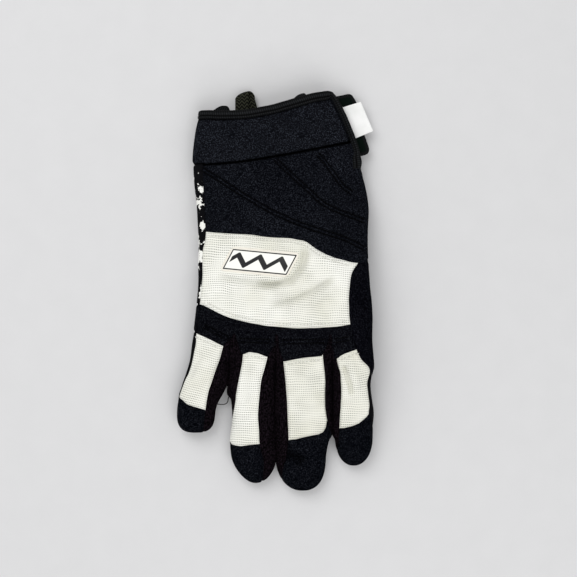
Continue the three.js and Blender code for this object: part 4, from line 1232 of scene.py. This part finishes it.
# The edge tape, a flattened loop of cloth carried along the mouth. The chart is the hand tube
# unrolled: arc length round the tube and y.


def smoothed(values, count):
    """Moving average over count rows, with the end rows repeated."""
    padded = np.pad(values, ((count // 2, count // 2), (0, 0)), mode="edge")
    sums = np.cumsum(np.vstack([0 * padded[:1], padded]), axis=0)
    return (sums[count:] - sums[:-count])[:len(values)] / count


def on_chart(u, y):
    """Surface point for an arc length from the top and a y."""
    run = hand.shoulder - y
    return surface(hand, u / (section(hand, run)[3] * hand.length), run)


def vent_foot(run):
    """The share at which the mouth ends, at the foot of the vent."""
    return beside(hand, np.array([(y_end, VENT_EDGE[-1, 0]) for y_end in (140.0, 60.0)]), 1)(run)


TAPE_STEP = 0.6
TAPE_HALF, TAPE_MIDDLE = 1.25, 0.2  # half its thickness, and its middle from the tube's skin
CUFF_MIDDLE = 8.4  # height of the middle of the cuff's thickness
PEEPS = [(-34.8, 5.0, 4.9), (13.6, 4.8, 4.5)]  # x, half width and rise of the lower edge
STITCH_ROWS = [(0.57, 0.15, 1.0), (0.96, 0.07, 0.8)]  # share of the tape's width, spread, share of depth
FOOT_FLARE = 2.4  # the tape is this much wider at the foot of the vent
TAPE_THINNING, STITCH_DEPTH, SWELL_AT = 0.55, 0.55, 5.0
RIM_DARK, RIM_REACH = 0.65, 0.12  # the shade over the tape's rim, and how far in it fades
ends = np.linspace(0, 1, 3000)
run = meets(hand, lambda r: -1 - vent_foot(r), vent_foot, ends, mouth)
at = (-1 - vent_foot(run)) + (1 + 2 * vent_foot(run)) * ends
chart = np.stack([at * section(hand, run)[3] * hand.length, hand.shoulder - run], -1)
length = np.append(0, np.linalg.norm(np.diff(chart, axis=0), axis=1).cumsum())
even = np.arange(0, length[-1], TAPE_STEP)
chart = np.stack([np.interp(even, length, chart[:, k]) for k in (0, 1)], -1)
chart = smoothed(chart, 5)
way = np.gradient(chart, axis=0)
way /= np.linalg.norm(way, axis=1, keepdims=True)
inwards = smoothed(np.stack([way[:, 1], -way[:, 0]], -1), 15)
inwards /= np.linalg.norm(inwards, axis=1, keepdims=True)
edge_x = on_chart(chart[:, 0], chart[:, 1])[:, 0]
lower = chart[:, 0] < chart[:, 0].mean()
# The lower layer's edge peeps out past the upper one at two places
peep = sum(rise * np.exp(-np.abs((edge_x - x_at) / half) ** 3) for x_at, half, rise in PEEPS)
chart[:, 1] += np.where(lower, peep, 0)
wide = TAPE_SLIM + (TAPE_WIDE - TAPE_SLIM) * smoothstep(35.5, 32.0, edge_x)
wide = wide + FOOT_FLARE * smoothstep(88.0, 79.0, chart[:, 1])
q = np.linspace(0, 1, 24)
bend = np.linspace(-np.pi / 2, np.pi / 2, 9)
rest = wide[:, None] - TAPE_HALF
inner_d = TAPE_HALF + rest * q[::-1]
bend_d = TAPE_HALF - TAPE_HALF * np.cos(bend)[None] + 0 * rest
outer_d = TAPE_HALF + rest * q
d = np.concatenate([inner_d, bend_d[:, 1:-1], outer_d], 1)
# Two rows of stitches press the tape. It swells before its two ends and thins out at them
groove = sum(depth * np.exp(-((q - at_) / spread) ** 2) for at_, spread, depth in STITCH_ROWS)
face = TAPE_HALF * (1 - TAPE_THINNING * q ** 8)
o = np.concatenate([-face[::-1], TAPE_HALF * np.sin(bend)[1:-1], face - STITCH_DEPTH * groove])
to_end = np.minimum(even - even[0], even[-1] - even)[:, None]
swell = smoothstep(-1.5, 3.5, to_end) + 0.35 * np.exp(-((to_end - SWELL_AT) / 2.0) ** 2)
o = TAPE_MIDDLE + o * swell
u, y = chart[:, :1] + inwards[:, :1] * d, chart[:, 1:] + inwards[:, 1:] * d
base = on_chart(u, y)
step_in = on_chart(u + TAPE_STEP / 2 * inwards[:, :1], y + TAPE_STEP / 2 * inwards[:, 1:]) - base
out = np.cross(step_in, np.gradient(base, axis=0))
out /= np.linalg.norm(out, axis=-1, keepdims=True)
out *= np.sign((out[..., 2] * (base[..., 2] - CUFF_MIDDLE)).sum())
tape = base + out * o[..., None]
tape[..., 2] = np.maximum(tape[..., 2], 0)
tape_uv = np.stack([even[:, None] + 0 * d, d], -1)
# Painted shade: the tape is painted black in the grooves where it is stitched down, and darker over its
# rim, where shade falls
outer_painted_shade = np.clip(groove + RIM_DARK * np.exp(-(q / RIM_REACH) ** 2), 0, 1)
tape_painted_shade = np.concatenate([0 * q, RIM_DARK + 0 * bend[1:-1], outer_painted_shade])
make_piece(
    "mouth_edge_tape", [round_part(tape, tape_uv, tape_painted_shade)], [TAPE], ["edge_binding"]
)
every = slice(4, -4, 4)
seat = len(q) + len(bend) - 2 + int(np.argmax(groove))
seats = tape[every, seat] + out[every, seat] * 0.12
seats[:, 2] = np.maximum(seats[:, 2], THREAD_RADIUS)
make_piece(
    "mouth_tape_thread",
    [capsules(seats, np.gradient(tape[:, seat], axis=0)[every], out[every, seat], 1.6, THREAD_RADIUS)],
    [DARK_THREAD],
)


CORNER_STEPS, OUTLINE_STEP = 6, 0.7


def rounded(corners, cut):
    """Corners of an outline rounded, each by a quadratic curve that starts cut before it, or 0.45
    of the way along a short side, with points about 0.7 mm apart."""
    corners = np.array(corners, float)
    line = []
    for before, here, after in zip(np.roll(corners, 1, 0), corners, np.roll(corners, -1, 0)):
        near, far = (
            here + (p - here) * min(cut / np.linalg.norm(p - here), 0.45) for p in (before, after)
        )
        t = np.linspace(0, 1, CORNER_STEPS)[:, None]
        line.append((1 - t) ** 2 * near + 2 * t * (1 - t) * here + t * t * far)
    line = np.concatenate(line + [line[0][:1]])
    run = np.append(0, np.linalg.norm(np.diff(line, axis=0), axis=1).cumsum())
    even = np.linspace(0, run[-1], int(run[-1] / OUTLINE_STEP), endpoint=False)
    return np.stack([np.interp(even, run, line[:, k]) for k in (0, 1)], -1)


def plate(outline, low, high, edge, rings=26, uv_axes=None):
    """A closed plate over a plan outline: rings shrink to its middle on both faces, whose heights
    low(x, y) and high(x, y) meet in a quarter-round of radius edge at the rim."""
    centre = outline.mean(0)
    size = np.linalg.norm(outline - centre, axis=1).mean()
    r = np.sin(np.linspace(0.02, 1, rings) * np.pi / 2)
    around = centre + (outline - centre) * r[:, None, None]
    x, y = around[..., 0], around[..., 1]
    inset = np.clip((1 - r[:, None]) * size, 0, edge)
    drop = edge - np.sqrt(np.maximum(edge ** 2 - (edge - inset) ** 2, 0))
    bottom, top = low(x, y), high(x, y)
    drop = np.minimum(drop, (top - bottom) / 2)
    upper = np.stack([x, y, top - drop], -1)
    lower = np.stack([x, y, bottom + drop], -1)[::-1]
    grid = np.concatenate([upper, lower])
    uv = grid[..., :2]
    if uv_axes is not None:
        corner, axes = uv_axes
        uv = (uv - corner) @ np.linalg.inv(axes)
    return round_part(grid, uv)


def rim(outline, inset, half_width, low, high, bulge):
    """A bound edge: an oval profile, half_width either side of the outline moved in by inset and
    bulge past the plate on both faces."""
    closed = np.vstack([outline, outline[:1]])
    way = np.gradient(np.vstack([outline[-1:], closed, outline[1:2]]), axis=0)[1:-1]
    way /= np.linalg.norm(way, axis=1, keepdims=True)
    centre = outline.mean(0)
    side = np.stack([way[:, 1], -way[:, 0]], -1)
    side *= np.sign((side * (closed - centre)).sum())
    ring = np.linspace(0, 2 * np.pi, 14, endpoint=False)
    across, up = power(np.cos(ring), 0.7), power(np.sin(ring), 0.7)
    spots = closed[:, None] + side[:, None] * (half_width * across - inset)[None, :, None]
    x, y = spots[..., 0], spots[..., 1]
    mid, half = (low(x, y) + high(x, y)) / 2, (high(x, y) - low(x, y)) / 2 + bulge
    grid = np.stack([x, y, mid + half * up], -1)
    run = np.append(0, np.linalg.norm(np.diff(closed, axis=0), axis=1).cumsum())
    return round_part(grid, np.stack([run[:, None] + 0 * x, ring * half_width + 0 * x], -1))


# The closure tab, matted pile inside a bound edge
TAB_EASE = 0.25  # the pile lies this far inside the tab's two faces


def tab_low(x, y):
    return middle(x, y) + TAB_LOW + TAB_EASE


def tab_high(x, y):
    return middle(x, y) + TAB_LOW + TAB_THICK - TAB_EASE


tab_line = rounded(TAB, 2.2)
make_piece("closure_tab_pile", [plate(tab_line, tab_low, tab_high, 0.5)], [HOOK],
           ["closure_tab"])
make_piece("closure_tab_edge", [rim(tab_line, 1.1, 1.2, tab_low, tab_high, 0.2)], [TAB_TAPE])


# The woven label, a flat tag whose inner end is under the edge of the vent
def label_low(x, y):
    return middle(x, y) + LABEL_LOW + 0.1 * np.sin(x * 0.5 + y * 0.2)


def label_high(x, y):
    return label_low(x, y) + LABEL_THICK


corner, across_, along_ = LABEL[0], LABEL[1] - LABEL[0], LABEL[3] - LABEL[0]
make_piece(
    "side_label_cloth",
    [plate(rounded(LABEL, 0.8), label_low, label_high, 0.35, uv_axes=(corner, np.array([
        across_ / np.linalg.norm(across_), along_ / np.linalg.norm(along_)])))],
    [LABEL_CLOTH], ["side_label"],
)


# The moulded badge follows the knit under it
def knuckle_top(x, y):
    """Height of the knuckle panel's outside over the plan."""
    tops = np.stack([height(tube, x, y, 1) for tube in [hand, *fingers.values()]]) / SOFTNESS
    top = tops.max(0)
    return SOFTNESS * (top + np.log(np.exp(tops - top).sum(0))) + ripple(x, y, seed=5, size=0.3)


BADGE_RIM = 0.45  # height of its pressed rim
badge_axes = np.array([BADGE[2] - BADGE[1], BADGE[0] - BADGE[1]])


def badge_high(x, y):
    """The rim is pressed low; the plate inside it stands up over a short slope."""
    uv = (np.stack([x, y], -1) - BADGE[1]) @ np.linalg.inv(badge_axes)
    inset = ((0.5 - np.abs(uv - 0.5)) * (BADGE_LONG, BADGE_WIDE)).min(-1)
    return knuckle_top(x, y) + BADGE_RIM + (BADGE_LIFT - BADGE_RIM) * smoothstep(1.2, 2.0, inset)


make_piece(
    "knuckle_badge_plate",
    [plate(rounded(BADGE, 3.4), lambda x, y: knuckle_top(x, y) - 0.3, badge_high, 0.4, rings=60,
           uv_axes=(BADGE[1], badge_axes))],
    [BADGE_TPU], ["knuckle_badge"],
)

# The pull loop: a tape in a hairpin whose back leg lies further towards the thumb
LOOP_FRONT, LOOP_BACK, LOOP_HALF = -21.2, -17.3, 4.2
LOOP_FOOT, LOOP_TOP, LOOP_LOW, LOOP_BEND, LOOP_THICK = 96.0, 123.2, 3.2, 1.15, 1.3
LOOP_PEAK, LOOP_LEAN, LOOP_SPREAD = -17.0, 0.1, 1.8
DOME_DROP, DOME_LEFT, DOME_RIGHT = 2.6, 8.0, 4.4  # it drops this much so far from the peak
turn = np.linspace(-np.pi / 2, np.pi / 2, 24)
leg = np.linspace(LOOP_FOOT, LOOP_TOP - LOOP_BEND, 24)
y_path = np.concatenate([leg, LOOP_TOP - LOOP_BEND + LOOP_BEND * np.cos(turn)[1:-1], leg[::-1]])
z_path = np.concatenate([0 * leg - LOOP_BEND, LOOP_BEND * np.sin(turn)[1:-1], 0 * leg + LOOP_BEND])
z_path = LOOP_LOW + LOOP_BEND + LOOP_THICK / 2 - z_path
passed = smoothstep(len(leg) - 1, len(y_path) - len(leg), np.arange(len(y_path)))
spread = LOOP_SPREAD * smoothstep(120.0, 111.0, y_path)
x_path = LOOP_FRONT + (LOOP_BACK - LOOP_FRONT + spread) * passed
path = np.stack([x_path, y_path, z_path], -1)
way = np.gradient(path, axis=0) * (0, 1, 1)
way /= np.linalg.norm(way, axis=1, keepdims=True)
across_way = np.array([1.0, LOOP_LEAN, 0.0]) / np.hypot(1.0, LOOP_LEAN) + 0 * way
up_way = np.cross(across_way, way)
ring = np.linspace(0, 2 * np.pi, 28, endpoint=False)
flat_x, flat_z = power(np.cos(ring), 0.35) * LOOP_HALF, power(np.sin(ring), 0.5) * LOOP_THICK / 2
grid = path[:, None] + across_way[:, None] * flat_x[None, :, None] + up_way[:, None] * flat_z[None, :, None]
# The fold at the top is domed: highest above LOOP_PEAK, and lower towards both edges of the tape
off = grid[..., 0] - LOOP_PEAK
dome = DOME_DROP * (off / np.where(off < 0, DOME_LEFT, DOME_RIGHT)) ** 2
grid[..., 1] -= dome * smoothstep(LOOP_TOP - 7, LOOP_TOP, y_path)[:, None]
run = np.append(0, np.linalg.norm(np.diff(path, axis=0), axis=1).cumsum())
uv = np.stack([0 * run[:, None] + flat_x, run[:, None] + 0 * flat_x], -1)
make_piece("pull_loop_webbing", [round_part(grid, uv)], [WEBBING], ["pull_loop"])
